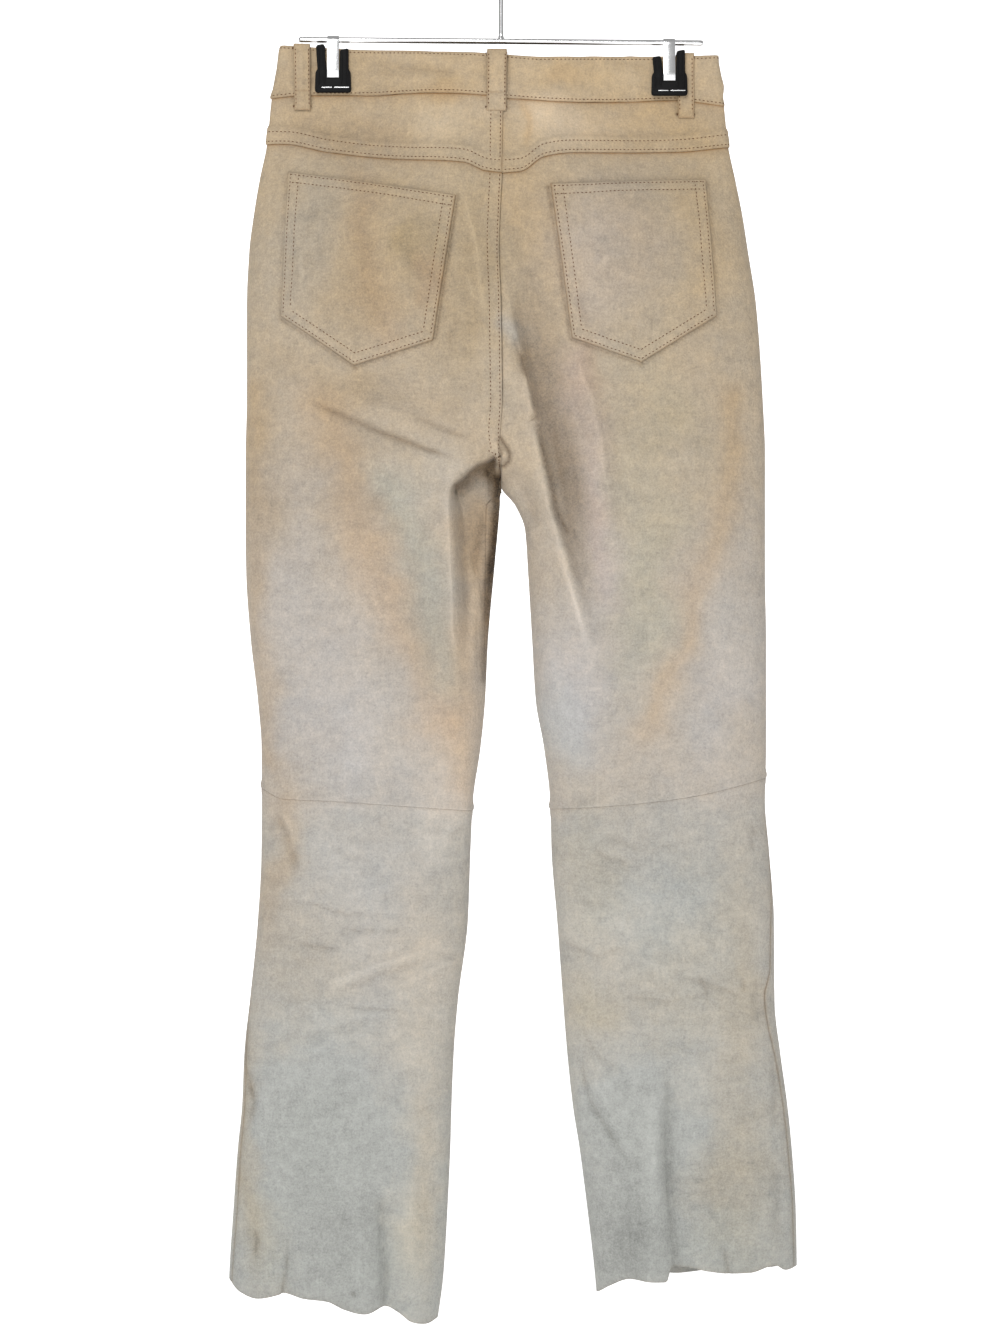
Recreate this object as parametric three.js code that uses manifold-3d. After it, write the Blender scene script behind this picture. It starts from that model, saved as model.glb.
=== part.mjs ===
// Suede trousers cut like jeans, hung by the waistband from a wire hanger with two clips.
// Millimetres. +X is the wearer's right, +Y points out of the front, +Z is up, and the origin is the
// point inside the hook's bend that bears on a rail. "Drop" is the distance below that point.
import * as THREE from 'three';
import { mergeVertices } from 'three/addons/utils/BufferGeometryUtils.js';
import Module from 'manifold-3d';

const wasm = await Module();
wasm.setup();

// Driving dimensions
const seamGap = 0.3;        // clearance between neighbouring pieces
const halfGap = seamGap / 2;
const suede = 1.5;          // one layer of suede
const bandThick = 2.8;      // the waistband is two layers
const loopThick = 1.6;
const loopGap = 0.9;        // a loop's ends stand this far off the waistband's smooth form
const layGap = 0.5;         // a piece that lies on another follows its smooth form this far out
const pocketGap = 0.9;
const pinched = 3.4;        // half thickness of the waist where the clips close it
const crotchDrop = 476;
const flyEnd = 322;         // the front opening runs from the waistband down to here
const flyHalf = 4;          // half width of that opening, under the fly flap
const flyMiddle = 1.4;

const colours = {
  sand: 0xcdb792,
  stone: 0xc8c2b8,
  thread: 0x8a7355,
  black: 0x171615,
  steel: 0xc9cbcd,
  brass: 0xa98a54,
};

// The outline from behind: where each edge of each leg lies. Above the crotch both inner edges are
// the middle seam.
const outline = [
  { drop: 96, leftOuter: -185, leftInner: 1.7, rightInner: 1.7, rightOuter: 182 },
  { drop: 147, leftOuter: -195, leftInner: 1.7, rightInner: 1.7, rightOuter: 189 },
  { drop: 186, leftOuter: -199, leftInner: 1.2, rightInner: 1.2, rightOuter: 193 },
  { drop: 215, leftOuter: -205, leftInner: 0.9, rightInner: 0.9, rightOuter: 199 },
  { drop: 245, leftOuter: -210, leftInner: -0.6, rightInner: -0.6, rightOuter: 205 },
  { drop: 277, leftOuter: -214, leftInner: -1.6, rightInner: -1.6, rightOuter: 210 },
  { drop: 324, leftOuter: -216, leftInner: 0, rightInner: 0, rightOuter: 217 },
  { drop: 403, leftOuter: -216, leftInner: 1, rightInner: 1, rightOuter: 222.5 },
  { drop: 449, leftOuter: -217, leftInner: -1, rightInner: -1, rightOuter: 224.4 },
  { drop: 476, leftOuter: -217, leftInner: 0, rightInner: 0, rightOuter: 224.4 },
  { drop: 492, leftOuter: -217, leftInner: -0.9, rightInner: 12, rightOuter: 224.4 },
  { drop: 513, leftOuter: -217, leftInner: -2.6, rightInner: 20.4, rightOuter: 224.4 },
  { drop: 550, leftOuter: -216.5, leftInner: -6, rightInner: 23, rightOuter: 224.4 },
  { drop: 607, leftOuter: -212.5, leftInner: -11, rightInner: 26.4, rightOuter: 225.3 },
  { drop: 658, leftOuter: -206.5, leftInner: -13.5, rightInner: 29.5, rightOuter: 225.3 },
  { drop: 698, leftOuter: -203.5, leftInner: -17.4, rightInner: 36.5, rightOuter: 225.3 },
  { drop: 743, leftOuter: -203.2, leftInner: -23.8, rightInner: 41.7, rightOuter: 224.4 },
  { drop: 788, leftOuter: -203.6, leftInner: -26, rightInner: 43, rightOuter: 228 },
  { drop: 844, leftOuter: -206.6, leftInner: -28, rightInner: 47.6, rightOuter: 232 },
  { drop: 913, leftOuter: -213.4, leftInner: -36.6, rightInner: 52.7, rightOuter: 232.5 },
  { drop: 955, leftOuter: -218, leftInner: -40, rightInner: 56, rightOuter: 237 },
  { drop: 1002, leftOuter: -220, leftInner: -42, rightInner: 61, rightOuter: 243.5 },
  { drop: 1037, leftOuter: -223.5, leftInner: -43, rightInner: 66.5, rightOuter: 247 },
  { drop: 1091, leftOuter: -227.5, leftInner: -45.5, rightInner: 73.5, rightOuter: 250.5 },
  { drop: 1147, leftOuter: -231, leftInner: -49, rightInner: 79.9, rightOuter: 251.4 },
  { drop: 1185, leftOuter: -232, leftInner: -54, rightInner: 83, rightOuter: 251.4 },
];

// How deep the flattened tube is on each side of the seam plane, how square its ends are, and how far
// the middle edge still stands at full depth (1 in the seat, 0 where the legs have closed on it).
const depths = [
  { drop: 96, back: 22, front: 20, square: 2.2, stand: 1 },
  { drop: 147, back: 28, front: 24, square: 2.2, stand: 1 },
  { drop: 215, back: 40, front: 30, square: 2.2, stand: 1 },
  { drop: 300, back: 47, front: 34, square: 2.3, stand: 1 },
  { drop: 400, back: 43, front: 36, square: 2.4, stand: 1 },
  { drop: 430, back: 41, front: 36, square: 2.4, stand: 0.9 },
  { drop: 449, back: 40, front: 36, square: 2.4, stand: 0.66 },
  { drop: 463, back: 38, front: 35, square: 2.4, stand: 0.34 },
  { drop: 476, back: 37, front: 35, square: 2.4, stand: 0 },
  { drop: 607, back: 34, front: 33, square: 2.5, stand: 0 },
  { drop: 743, back: 30, front: 30, square: 2.5, stand: 0 },
  { drop: 844, back: 28, front: 28, square: 2.5, stand: 0 },
  { drop: 1002, back: 28, front: 27, square: 2.5, stand: 0 },
  { drop: 1185, back: 31, front: 29, square: 2.4, stand: 0 },
];

// The largest folds: straight troughs (negative) and ridges that fade over their width and past
// their ends.
const folds = [
  { face: 'back', x0: 20, drop0: 350, x1: 46, drop1: 450, rise: -9, width: 13 },
  { face: 'back', x0: 46, drop0: 450, x1: 64, drop1: 530, rise: -8, width: 14 },
  { face: 'back', x0: 36, drop0: 430, x1: 84, drop1: 640, rise: 5, width: 16 },
  { face: 'back', x0: 2, drop0: 235, x1: 30, drop1: 335, rise: -4, width: 11 },
  { face: 'back', x0: -158, drop0: 407, x1: -50, drop1: 450, rise: -5, width: 13 },
  { face: 'back', x0: -22, drop0: 478, x1: -18, drop1: 560, rise: -15, width: 20 },
  { face: 'back', x0: -99, drop0: 1040, x1: -98, drop1: 1175, rise: -8, width: 13 },
  { face: 'back', x0: 142, drop0: 1000, x1: 146, drop1: 1140, rise: -9, width: 13 },
  { face: 'back', x0: 68, drop0: 960, x1: 100, drop1: 1035, rise: -5, width: 12 },
  { face: 'front', x0: 30, drop0: 380, x1: 80, drop1: 520, rise: -7, width: 15 },
  { face: 'front', x0: -34, drop0: 390, x1: -86, drop1: 520, rise: -6, width: 15 },
  { face: 'front', x0: -132, drop0: 1020, x1: -134, drop1: 1170, rise: -7, width: 14 },
  { face: 'front', x0: 170, drop0: 1010, x1: 168, drop1: 1140, rise: -7, width: 14 },
];

// Lines across the pieces: the drop at a fraction of the way from the inner edge to the side seam.
const levels = {
  waistTop: {
    backleft: [[0, 112.2], [0.3, 109], [0.68, 105], [1, 101.6]],
    backright: [[0, 112.2], [0.17, 114.6], [0.47, 112], [0.7, 111], [1, 110]],
    frontleft: [[0, 119], [0.5, 112], [1, 101.6]],
    frontright: [[0, 119], [0.5, 116], [1, 110]],
  },
  waistSeam: {
    backleft: [[0, 150], [0.1, 147], [0.45, 144.2], [0.85, 144.2], [1, 146.7]],
    backright: [[0, 150], [0.26, 152.6], [0.78, 148.4], [1, 153]],
    frontleft: [[0, 157], [0.5, 152], [1, 146.7]],
    frontright: [[0, 157], [0.5, 155], [1, 153]],
  },
  yokeSeam: {
    backleft: [[0, 214.5], [0.06, 213], [0.16, 205], [0.42, 201], [0.74, 193], [0.92, 186], [1, 185.8]],
    backright: [[0, 214.5], [0.08, 213], [0.18, 200.5], [0.3, 196.4], [0.58, 194.3], [0.78, 193], [1, 188.3]],
    frontleft: [[0, 200], [1, 185.8]],
    frontright: [[0, 200], [1, 188.3]],
  },
  crotch: {
    backleft: [[0, crotchDrop], [1, crotchDrop]],
    backright: [[0, crotchDrop], [1, crotchDrop]],
    frontleft: [[0, crotchDrop], [1, crotchDrop]],
    frontright: [[0, crotchDrop], [1, crotchDrop]],
  },
  knee: {
    backleft: [[0, 751.5], [0.34, 746.8], [0.7, 742.5], [0.89, 741.2], [1, 732.3]],
    backright: [[0, 750], [0.23, 747.6], [0.52, 742.5], [0.7, 737.4], [1, 723.8]],
    frontleft: [[0, 751.5], [1, 732.3]],
    frontright: [[0, 750], [1, 723.8]],
  },
  hem: {
    backleft: [[0, 1181], [0.12, 1182], [0.25, 1168.4], [0.34, 1174.3], [0.53, 1164], [0.74, 1157],
      [0.86, 1162.4], [1, 1148]],
    backright: [[0, 1159.5], [0.17, 1145.4], [0.33, 1147.5], [0.38, 1134.4], [0.65, 1140.3],
      [0.88, 1134.4], [0.94, 1139], [1, 1136.9]],
    frontleft: [[0, 1181], [0.3, 1170], [0.65, 1166], [1, 1148]],
    frontright: [[0, 1159.5], [0.4, 1148], [0.7, 1142], [1, 1136.9]],
  },
};

// Patch pockets on the seat: the corners of the five-sided outline from behind
const pockets = {
  left: {
    topInner: [-37.7, 233.4], topOuter: [-180.2, 210.4], lowInner: [-57, 355.4],
    point: [-123.3, 376.2], lowOuter: [-185.3, 333.7],
  },
  right: {
    topInner: [41.3, 223.7], topOuter: [172.9, 217.2], lowInner: [59.5, 353.2],
    point: [117.8, 373.6], lowOuter: [181.5, 333.7],
  },
};

// Belt loops: middle, width, top and bottom, and how far the strip arches off the waistband
const beltLoops = [
  { name: 'loop_back_left', face: 'back', x: -169, wide: 14.5, top: 100.6, bottom: 156.9, arch: 2.2 },
  { name: 'loop_back_centre', face: 'back', x: -3.4, wide: 17, top: 110.6, bottom: 161.5, arch: 2.4 },
  { name: 'loop_back_right', face: 'back', x: 156.8, wide: 14, top: 109.6, bottom: 163.7, arch: 0 },
  { name: 'loop_front_left', face: 'front', x: -78, wide: 14.5, top: 113, bottom: 165, arch: 2.2 },
  { name: 'loop_front_right', face: 'front', x: 78, wide: 14.5, top: 116, bottom: 168, arch: 2.2 },
];

// Clips: drops of the plate's middle, the bar and the two arms' tops, and how far the back jaw is held
// off the waistband by a belt loop under it
const clips = [
  { name: 'clip_left', x: -142.5, plate: 132.6, bar: 96.5, armInner: 104, armOuter: 100.5, backLift: 0 },
  { name: 'clip_right', x: 142.8, plate: 135.6, bar: 98.9, armInner: 111, armOuter: 105.5, backLift: 2.5 },
];
const plateWide = 31;
const plateTall = 19;
const plateThick = 3.2;
const plateRound = 3;
const armWide = 8.5;
const armGap = 11;
const springWide = 10;
const springThick = 0.8;
const springBend = 4.5;     // inner radius of the bend over the bar
const springTip = -3.2;     // drop of the strip's tip, against the middle of the plate
const flatHalf = plateWide / 2 + 2;
const bandMiddle = 130;     // drop of the waistband's middle line

const barRadius = 2.5;
const barHalf = 172;
const hookWire = 2.1;       // radius of the hook's wire
const hookBend = 19;        // radius of the bend, to the middle of the wire

const clamp = (value, low, high) => Math.min(Math.max(value, low), high);
const mix = (a, b, t) => a + (b - a) * t;
const smooth = (t) => clamp(t, 0, 1) ** 2 * (3 - 2 * clamp(t, 0, 1));
const signedPower = (value, power) => Math.sign(value) * Math.abs(value) ** power;

// Smooth interpolation of one column of a table against another, without overshoot
function lookUp(rows, at, from, key) {
  const last = rows.length - 1;
  if (at <= rows[0][from]) return rows[0][key];
  if (at >= rows[last][from]) return rows[last][key];
  let i = 0;
  while (rows[i + 1][from] < at) i += 1;
  const step = (k) => (rows[k + 1][key] - rows[k][key]) / (rows[k + 1][from] - rows[k][from]);
  const slope = (k) => {
    if (k === 0) return step(0);
    if (k === last) return step(last - 1);
    const before = step(k - 1);
    const after = step(k);
    return before * after <= 0 ? 0 : (2 * before * after) / (before + after);
  };
  const span = rows[i + 1][from] - rows[i][from];
  const t = (at - rows[i][from]) / span;
  const rise = rows[i + 1][key] - rows[i][key];
  const a = slope(i) * span - rise;
  const b = rise - slope(i + 1) * span;
  return rows[i][key] + t * rise + t * (1 - t) * (a * (1 - t) + b * t);
}

const levelAt = (name, face, side, across) => lookUp(levels[name][face + side], across, 0, 1);

// The half section at a drop: its two edges in X and the first value of its rounding
function sectionAt(side, drop) {
  const inner = lookUp(outline, drop, 'drop', side === 'left' ? 'leftInner' : 'rightInner');
  const outer = lookUp(outline, drop, 'drop', side === 'left' ? 'leftOuter' : 'rightOuter');
  const square = lookUp(depths, drop, 'drop', 'square');
  const stand = lookUp(depths, drop, 'drop', 'stand');
  const startAngle = (Math.PI / 2) * stand;
  const start = signedPower(Math.cos(startAngle), 2 / square);
  return { inner, outer, square, startAngle, start };
}

// Columns are close together where the section turns: an even share becomes a fraction across
function acrossAt(side, drop, share) {
  const section = sectionAt(side, drop);
  const angle = mix(section.startAngle, Math.PI, share);
  const turned = signedPower(Math.cos(angle), 2 / section.square);
  return (section.start - turned) / (section.start + 1);
}

// Fractions across one half where the waistband has a point, from the middle to the side: flat behind
// each clip and close together where the strip turns round the side
function bandStations(face, side) {
  const section = sectionAt(side, bandMiddle);
  const clip = clips[side === 'left' ? 0 : 1];
  const middle = (clip.x - section.inner) / (section.outer - section.inner);
  const flat = flatHalf / Math.abs(section.outer - section.inner);
  const spread = face === 'back' ? [0, 0.1, 0.2, 0.3, 0.4, 0.5, 0.58] : [0, 0.2, 0.4, 0.54];
  const turn = face === 'back' ? [0.91, 0.95, 0.975, 0.993, 1] : [0.92, 0.96, 0.99, 1];
  return [...spread, middle - flat, middle + flat, ...turn];
}

function foldRise(face, x, drop) {
  let sum = 0;
  for (const fold of folds.filter((row) => row.face === face)) {
    const dx = fold.x1 - fold.x0;
    const dz = fold.drop1 - fold.drop0;
    const length = Math.hypot(dx, dz);
    const along = ((x - fold.x0) * dx + (drop - fold.drop0) * dz) / length;
    const aside = ((x - fold.x0) * dz - (drop - fold.drop0) * dx) / length;
    const past = Math.max(-along, along - length, 0);
    sum += fold.rise * Math.exp(-((aside / fold.width) ** 2) - (past / (2 * fold.width)) ** 2);
  }
  return sum;
}

// How much of its depth the tube has left beside a clip
function openness(x, drop) {
  const away = Math.min(...clips.map((clip) => Math.abs(x - clip.x)));
  const near = 1 - smooth((away - flatHalf) / 95);
  const high = 1 - smooth((drop - 146) / 120);
  return 1 - near * high;
}

// A point of the outer surface, at a fraction across one half of one face
function skin(face, side, across, drop) {
  const section = sectionAt(side, drop);
  const x = mix(section.inner, section.outer, across);
  const turned = clamp(section.start - across * (section.start + 1), -1, 1);
  const shape = (1 - Math.abs(turned) ** section.square) ** (1 / section.square);
  const full = lookUp(depths, drop, 'drop', face) * shape;
  const open = Math.max(full - pinched, 0) * openness(x, drop) + Math.min(full, pinched);
  const folded = open + foldRise(face, x, drop) * smooth((open - pinched) / 16);
  return new THREE.Vector3(x, face === 'back' ? -folded : folded, -drop);
}

function skinAtX(face, x, drop) {
  const middle = lookUp(outline, drop, 'drop', 'leftInner');
  const side = x < middle ? 'left' : 'right';
  const section = sectionAt(side, drop);
  return skin(face, side, (x - section.inner) / (section.outer - section.inner), drop);
}

// Turns a grid of outer points and one of inner points into a closed wall
function wall(outer, inner) {
  const rows = outer.length;
  const columns = outer[0].length;
  const points = [...outer.flat(), ...inner.flat()];
  const back = rows * columns;
  const at = (row, column) => row * columns + column;
  const index = [];
  const quad = (a, b, c, d) => index.push(a, b, c, a, c, d);
  for (let r = 0; r < rows - 1; r += 1) {
    for (let c = 0; c < columns - 1; c += 1) {
      const [p, q, s, t] = [at(r, c), at(r, c + 1), at(r + 1, c + 1), at(r + 1, c)];
      quad(p, q, s, t);
      index.push(back + p, back + s, back + q, back + p, back + t, back + s);
    }
  }
  const rim = [];
  for (let c = 0; c < columns - 1; c += 1) rim.push(at(0, c));
  for (let r = 0; r < rows - 1; r += 1) rim.push(at(r, columns - 1));
  for (let c = columns - 1; c > 0; c -= 1) rim.push(at(rows - 1, c));
  for (let r = rows - 1; r > 0; r -= 1) rim.push(at(r, 0));
  rim.forEach((p, k) => {
    const q = rim[(k + 1) % rim.length];
    quad(q, p, back + p, back + q);
  });
  const geometry = new THREE.BufferGeometry();
  geometry.setAttribute('position', new THREE.Float32BufferAttribute(points.flatMap((p) => p.toArray()), 3));
  geometry.setIndex(index);
  return facingOut(geometry);
}

// Turns every face round if the solid is inside out
function facingOut(geometry) {
  const place = geometry.getAttribute('position');
  const index = geometry.getIndex();
  const [a, b, c] = [new THREE.Vector3(), new THREE.Vector3(), new THREE.Vector3()];
  let volume = 0;
  for (let k = 0; k < index.count; k += 3) {
    a.fromBufferAttribute(place, index.getX(k));
    b.fromBufferAttribute(place, index.getX(k + 1));
    c.fromBufferAttribute(place, index.getX(k + 2));
    volume += a.dot(b.cross(c));
  }
  if (volume < 0) {
    for (let k = 0; k < index.count; k += 3) {
      const first = index.getX(k);
      index.setX(k, index.getX(k + 1));
      index.setX(k + 1, first);
    }
  }
  geometry.computeVertexNormals();
  return geometry;
}

// Outward directions of a grid of points, away from the tube's middle
function outward(grid, hint) {
  const last = grid.length - 1;
  const end = grid[0].length - 1;
  return grid.map((row, r) => row.map((point, c) => {
    const down = grid[Math.min(r + 1, last)][c].clone().sub(grid[Math.max(r - 1, 0)][c]);
    const over = row[Math.min(c + 1, end)].clone().sub(row[Math.max(c - 1, 0)]);
    const normal = down.cross(over).normalize();
    return normal.dot(hint(point)) < 0 ? normal.negate() : normal;
  }));
}

const shifted = (grid, normals, distance) => grid.map((row, r) => (
  row.map((point, c) => point.clone().addScaledVector(normals[r][c], distance))
));

// A panel of one face of one half, between two or more lines, with evenly shared rows. Its columns
// meet the waistband's points at the top and spread to even turns of the section over a few rows.
function panel(face, side, spans, spreadFrom) {
  const band = bandStations(face, side);
  const columns = band.length - 1;
  const grid = [];
  const marks = [];
  spans.forEach(([from, to, rows], k) => {
    for (let r = k === 0 ? 0 : 1; r <= rows; r += 1) marks.push({ from, to, share: r / rows });
  });
  marks.forEach((mark, r) => {
    const trim = (r === 0 ? halfGap : 0) - (r === marks.length - 1 && mark.to !== 'hem' ? halfGap : 0);
    const middle = mix(levelAt(mark.from, face, side, 0.5), levelAt(mark.to, face, side, 0.5), mark.share);
    const line = [];
    for (let c = 0; c <= columns; c += 1) {
      const across = mix(band[c], acrossAt(side, middle, c / columns), smooth((r - spreadFrom) / 4));
      const from = levelAt(mark.from, face, side, across);
      const drop = mix(from, levelAt(mark.to, face, side, across), mark.share) + trim;
      line.push(skin(face, side, across, drop));
    }
    trimEdges(line, face, side, -line[0].z);
    grid.push(line);
  });
  const normals = outward(grid, (point) => hintFor(face, side, point));
  grid.forEach((line, r) => {
    const drop = -line[0].z;
    squareUp(normals[r][0], drop <= crotchDrop + 1, drop >= crotchDrop - 1);
    squareUp(normals[r][columns], false, true);
  });
  return wall(grid, shifted(grid, normals, -suede));
}

// Leaves the seam's clearance, or the front opening's, at both ends of a row
function trimEdges(line, face, side, drop) {
  const away = side === 'left' ? -1 : 1;
  const out = face === 'back' ? -1 : 1;
  const open = face === 'front' && drop < flyEnd;
  if (drop <= crotchDrop + 1) line[0].x += away * (open ? flyHalf : halfGap);
  if (drop >= crotchDrop - 1) line[0].y = out * halfGap;
  line[line.length - 1].y = out * halfGap;
}

// Keeps a wall's edge in the plane that it shares with its neighbour
function squareUp(normal, alongX, alongY) {
  if (alongX) normal.x = 0;
  if (alongY) normal.y = 0;
  if (normal.lengthSq() < 1e-6) normal.set(0, 0, -1);
  normal.normalize();
}

function hintFor(face, side, point) {
  const section = sectionAt(side, -point.z);
  const centre = (section.inner + section.outer) / 2;
  const reach = Math.abs(section.outer - section.inner) / 2;
  const out = face === 'back' ? -1 : 1;
  return new THREE.Vector3((0.9 * (point.x - centre)) / reach, out, 0);
}

// A piece that lies on a face: its outline runs from a top line to a bottom line, column by column
function patch({ face, top, bottom, columns, rows, gap, thick, arch = () => 0 }) {
  const grid = [];
  for (let r = 0; r <= rows; r += 1) {
    const line = [];
    for (let c = 0; c <= columns; c += 1) {
      const [topX, topDrop] = top(c / columns);
      const [lowX, lowDrop] = bottom(c / columns);
      line.push(skinAtX(face, mix(topX, lowX, r / rows), mix(topDrop, lowDrop, r / rows)));
    }
    grid.push(line);
  }
  const out = new THREE.Vector3(0, face === 'back' ? -1 : 1, 0);
  const normals = outward(grid, () => out);
  const raised = grid.map((row, r) => row.map((point, c) => (
    point.clone().addScaledVector(normals[r][c], gap + arch(r / rows))
  )));
  return wall(shifted(raised, normals, thick), raised);
}

// A line through a few points, by the share of the way from the first point's x to the last one's
function through(points, breaks) {
  return (share) => {
    let k = 0;
    while (k < points.length - 2 && share > breaks[k + 1]) k += 1;
    const t = (share - breaks[k]) / (breaks[k + 1] - breaks[k]);
    return [mix(points[k][0], points[k + 1][0], t), mix(points[k][1], points[k + 1][1], t)];
  };
}

// The waistband: one strip from the outer end at the front, round the back, to the end underneath
function waistband() {
  const lapRise = bandThick + 2 * seamGap;
  const underEnd = 0.003;
  const stations = [0.11, 0.06, 0.01].map((across) => ({ face: 'front', side: 'right', across, lap: 1 }));
  const add = (face, side, list) => list.forEach((across) => stations.push({ face, side, across }));
  add('front', 'left', bandStations('front', 'left').slice(1, -1));
  add('back', 'left', bandStations('back', 'left').reverse());
  add('back', 'right', bandStations('back', 'right').slice(1, -1));
  add('front', 'right', bandStations('front', 'right').reverse().map((across) => Math.max(across, underEnd)));
  const grid = [0, 0.5, 1].map((share) => stations.map(({ face, side, across }) => {
    const top = levelAt('waistTop', face, side, across);
    const seam = levelAt('waistSeam', face, side, across) - halfGap;
    return skin(face, side, across, mix(top, seam, share));
  }));
  const normals = outward(grid, (point) => new THREE.Vector3(point.x / 190, point.y / 6, 0));
  const outer = grid.map((row, r) => row.map((point, c) => (
    point.clone().addScaledVector(normals[r][c], stations[c].lap ? lapRise : 0)
  )));
  return wall(outer, shifted(outer, normals, -bandThick));
}

// A shape drawn in X and Z, given its thickness along Y and moved to its near face
function plateOf(shape, thick, nearY) {
  const geometry = new THREE.ExtrudeGeometry(shape, { depth: thick, bevelEnabled: false, curveSegments: 4 });
  geometry.rotateX(Math.PI / 2);
  geometry.translate(0, nearY + thick, 0);
  return geometry;
}

// A jaw from behind: the plate that grips, with two arms that reach up beside the spring
function jawShape(clip) {
  const half = plateWide / 2;
  const low = -clip.plate - plateTall / 2;
  const high = -clip.plate + plateTall / 2;
  const away = Math.sign(clip.x);
  const inner = armGap / 2;
  const outer = inner + armWide;
  const leftTop = away < 0 ? clip.armOuter : clip.armInner;
  const rightTop = away < 0 ? clip.armInner : clip.armOuter;
  const shape = new THREE.Shape();
  shape.moveTo(clip.x - half + plateRound, low);
  shape.lineTo(clip.x + half - plateRound, low);
  shape.quadraticCurveTo(clip.x + half, low, clip.x + half, low + plateRound);
  shape.lineTo(clip.x + half, high - plateRound);
  shape.lineTo(clip.x + outer, high);
  shape.lineTo(clip.x + outer, -rightTop - 1);
  shape.lineTo(clip.x + inner + 1, -rightTop);
  shape.lineTo(clip.x + inner, -rightTop - 2);
  shape.lineTo(clip.x + inner, high);
  shape.lineTo(clip.x - inner, high);
  shape.lineTo(clip.x - inner, -leftTop - 2);
  shape.lineTo(clip.x - inner - 1, -leftTop);
  shape.lineTo(clip.x - outer, -leftTop - 1);
  shape.lineTo(clip.x - outer, high);
  shape.lineTo(clip.x - half, high - plateRound);
  shape.lineTo(clip.x - half, low + plateRound);
  shape.quadraticCurveTo(clip.x - half, low, clip.x - half + plateRound, low);
  return shape;
}

// The spring from the side: a strip bent over the bar whose two legs spread to the jaws
function springGeometry(clip) {
  const bendDrop = clip.bar - barRadius - seamGap + springBend;
  const high = clip.plate - plateTall / 2;
  const tip = clip.plate + springTip;
  const reach = (lift) => pinched + seamGap + lift + plateThick + seamGap;
  const [back, front] = [reach(clip.backLift), reach(0)];
  const line = [[-back, tip], [-back, high - 1]];
  for (let k = 0; k <= 8; k += 1) {
    const angle = Math.PI * (1 - k / 8);
    line.push([springBend * Math.cos(angle), bendDrop - springBend * Math.sin(angle)]);
  }
  line.push([front, high - 1], [front, tip]);
  const outer = line.map(([y, drop], k) => {
    const [y0, d0] = line[Math.max(k - 1, 0)];
    const [y1, d1] = line[Math.min(k + 1, line.length - 1)];
    const length = Math.hypot(y1 - y0, d1 - d0);
    return [y + (springThick * (d1 - d0)) / length, drop - (springThick * (y1 - y0)) / length];
  });
  const rim = [...line, ...outer.reverse()].map(([y, drop]) => new THREE.Vector2(y, -drop));
  const shape = new THREE.Shape(rim);
  const geometry = new THREE.ExtrudeGeometry(shape, { depth: springWide, bevelEnabled: false });
  geometry.rotateX(Math.PI / 2);
  geometry.rotateZ(Math.PI / 2);
  geometry.translate(clip.x - springWide / 2, 0, 0);
  return geometry;
}

// The hook's wire from the open tip over the bend to the stem's foot on the bar
function hookCurve(footDrop) {
  const centre = hookWire - hookBend;
  const points = [];
  for (let k = 0; k <= 8; k += 1) {
    const angle = THREE.MathUtils.degToRad(mix(195, -42, k / 8));
    points.push(new THREE.Vector3(hookBend * Math.cos(angle), 0, centre + hookBend * Math.sin(angle)));
  }
  points.push(new THREE.Vector3(4.5, 0, centre - hookBend - 3));
  points.push(new THREE.Vector3(0.4, 0, centre - hookBend - 14));
  points.push(new THREE.Vector3(0, 0, centre - hookBend - 30));
  points.push(new THREE.Vector3(0, 0, -footDrop));
  return new THREE.CatmullRomCurve3(points, false, 'centripetal');
}

function roundSection(radius, sides) {
  const points = [];
  for (let k = 0; k < sides; k += 1) {
    const angle = (2 * Math.PI * k) / sides;
    points.push(new THREE.Vector2(radius * Math.cos(angle), radius * Math.sin(angle)));
  }
  return new THREE.Shape(points);
}

function solidOf(geometry) {
  const bare = geometry.clone();
  bare.deleteAttribute('normal');
  bare.deleteAttribute('uv');
  const merged = mergeVertices(bare, 1e-4);
  return new wasm.Manifold(new wasm.Mesh({
    numProp: 3,
    vertProperties: new Float32Array(merged.getAttribute('position').array),
    triVerts: new Uint32Array(merged.getIndex().array),
  }));
}

function geometryOf(solid) {
  const mesh = solid.getMesh();
  const geometry = new THREE.BufferGeometry();
  geometry.setAttribute('position', new THREE.Float32BufferAttribute(mesh.vertProperties, 3));
  geometry.setIndex([...mesh.triVerts]);
  geometry.computeVertexNormals();
  return geometry;
}

function hangerFrame() {
  const [left, right] = clips;
  const slope = (right.bar - left.bar) / (right.x - left.x);
  const middle = left.bar - slope * left.x;
  const bar = new THREE.CylinderGeometry(barRadius, barRadius, 2 * barHalf, 14);
  bar.rotateZ(Math.PI / 2);
  bar.rotateY(Math.atan(slope));
  bar.translate(0, 0, -middle);
  const curve = hookCurve(middle);
  const hook = new THREE.ExtrudeGeometry(roundSection(hookWire, 10), {
    steps: 34, extrudePath: curve, bevelEnabled: false,
  });
  return geometryOf(solidOf(bar).add(solidOf(hook)));
}

// A jeans button: a domed head on a short shank, its axis standing off the waistband
function waistButton() {
  const shank = [[0, 0], [3, 0], [3, 1.6]];
  const head = [[7.6, 1.6], [8.5, 2.4], [8.2, 3.4], [6.4, 4], [5.8, 3.5], [0, 3.5]];
  const profile = [...shank, ...head].map(([radius, height]) => new THREE.Vector2(radius, height));
  const geometry = new THREE.LatheGeometry(profile, 24);
  const x = 12;
  const drop = 139;
  const foot = skinAtX('front', x, drop);
  const span = 8;
  const above = skinAtX('front', x, drop - span);
  geometry.rotateX(-Math.atan2(foot.y - above.y, span));
  geometry.translate(foot.x, foot.y + bandThick + 3 * seamGap + layGap, foot.z);
  return geometry;
}

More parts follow.
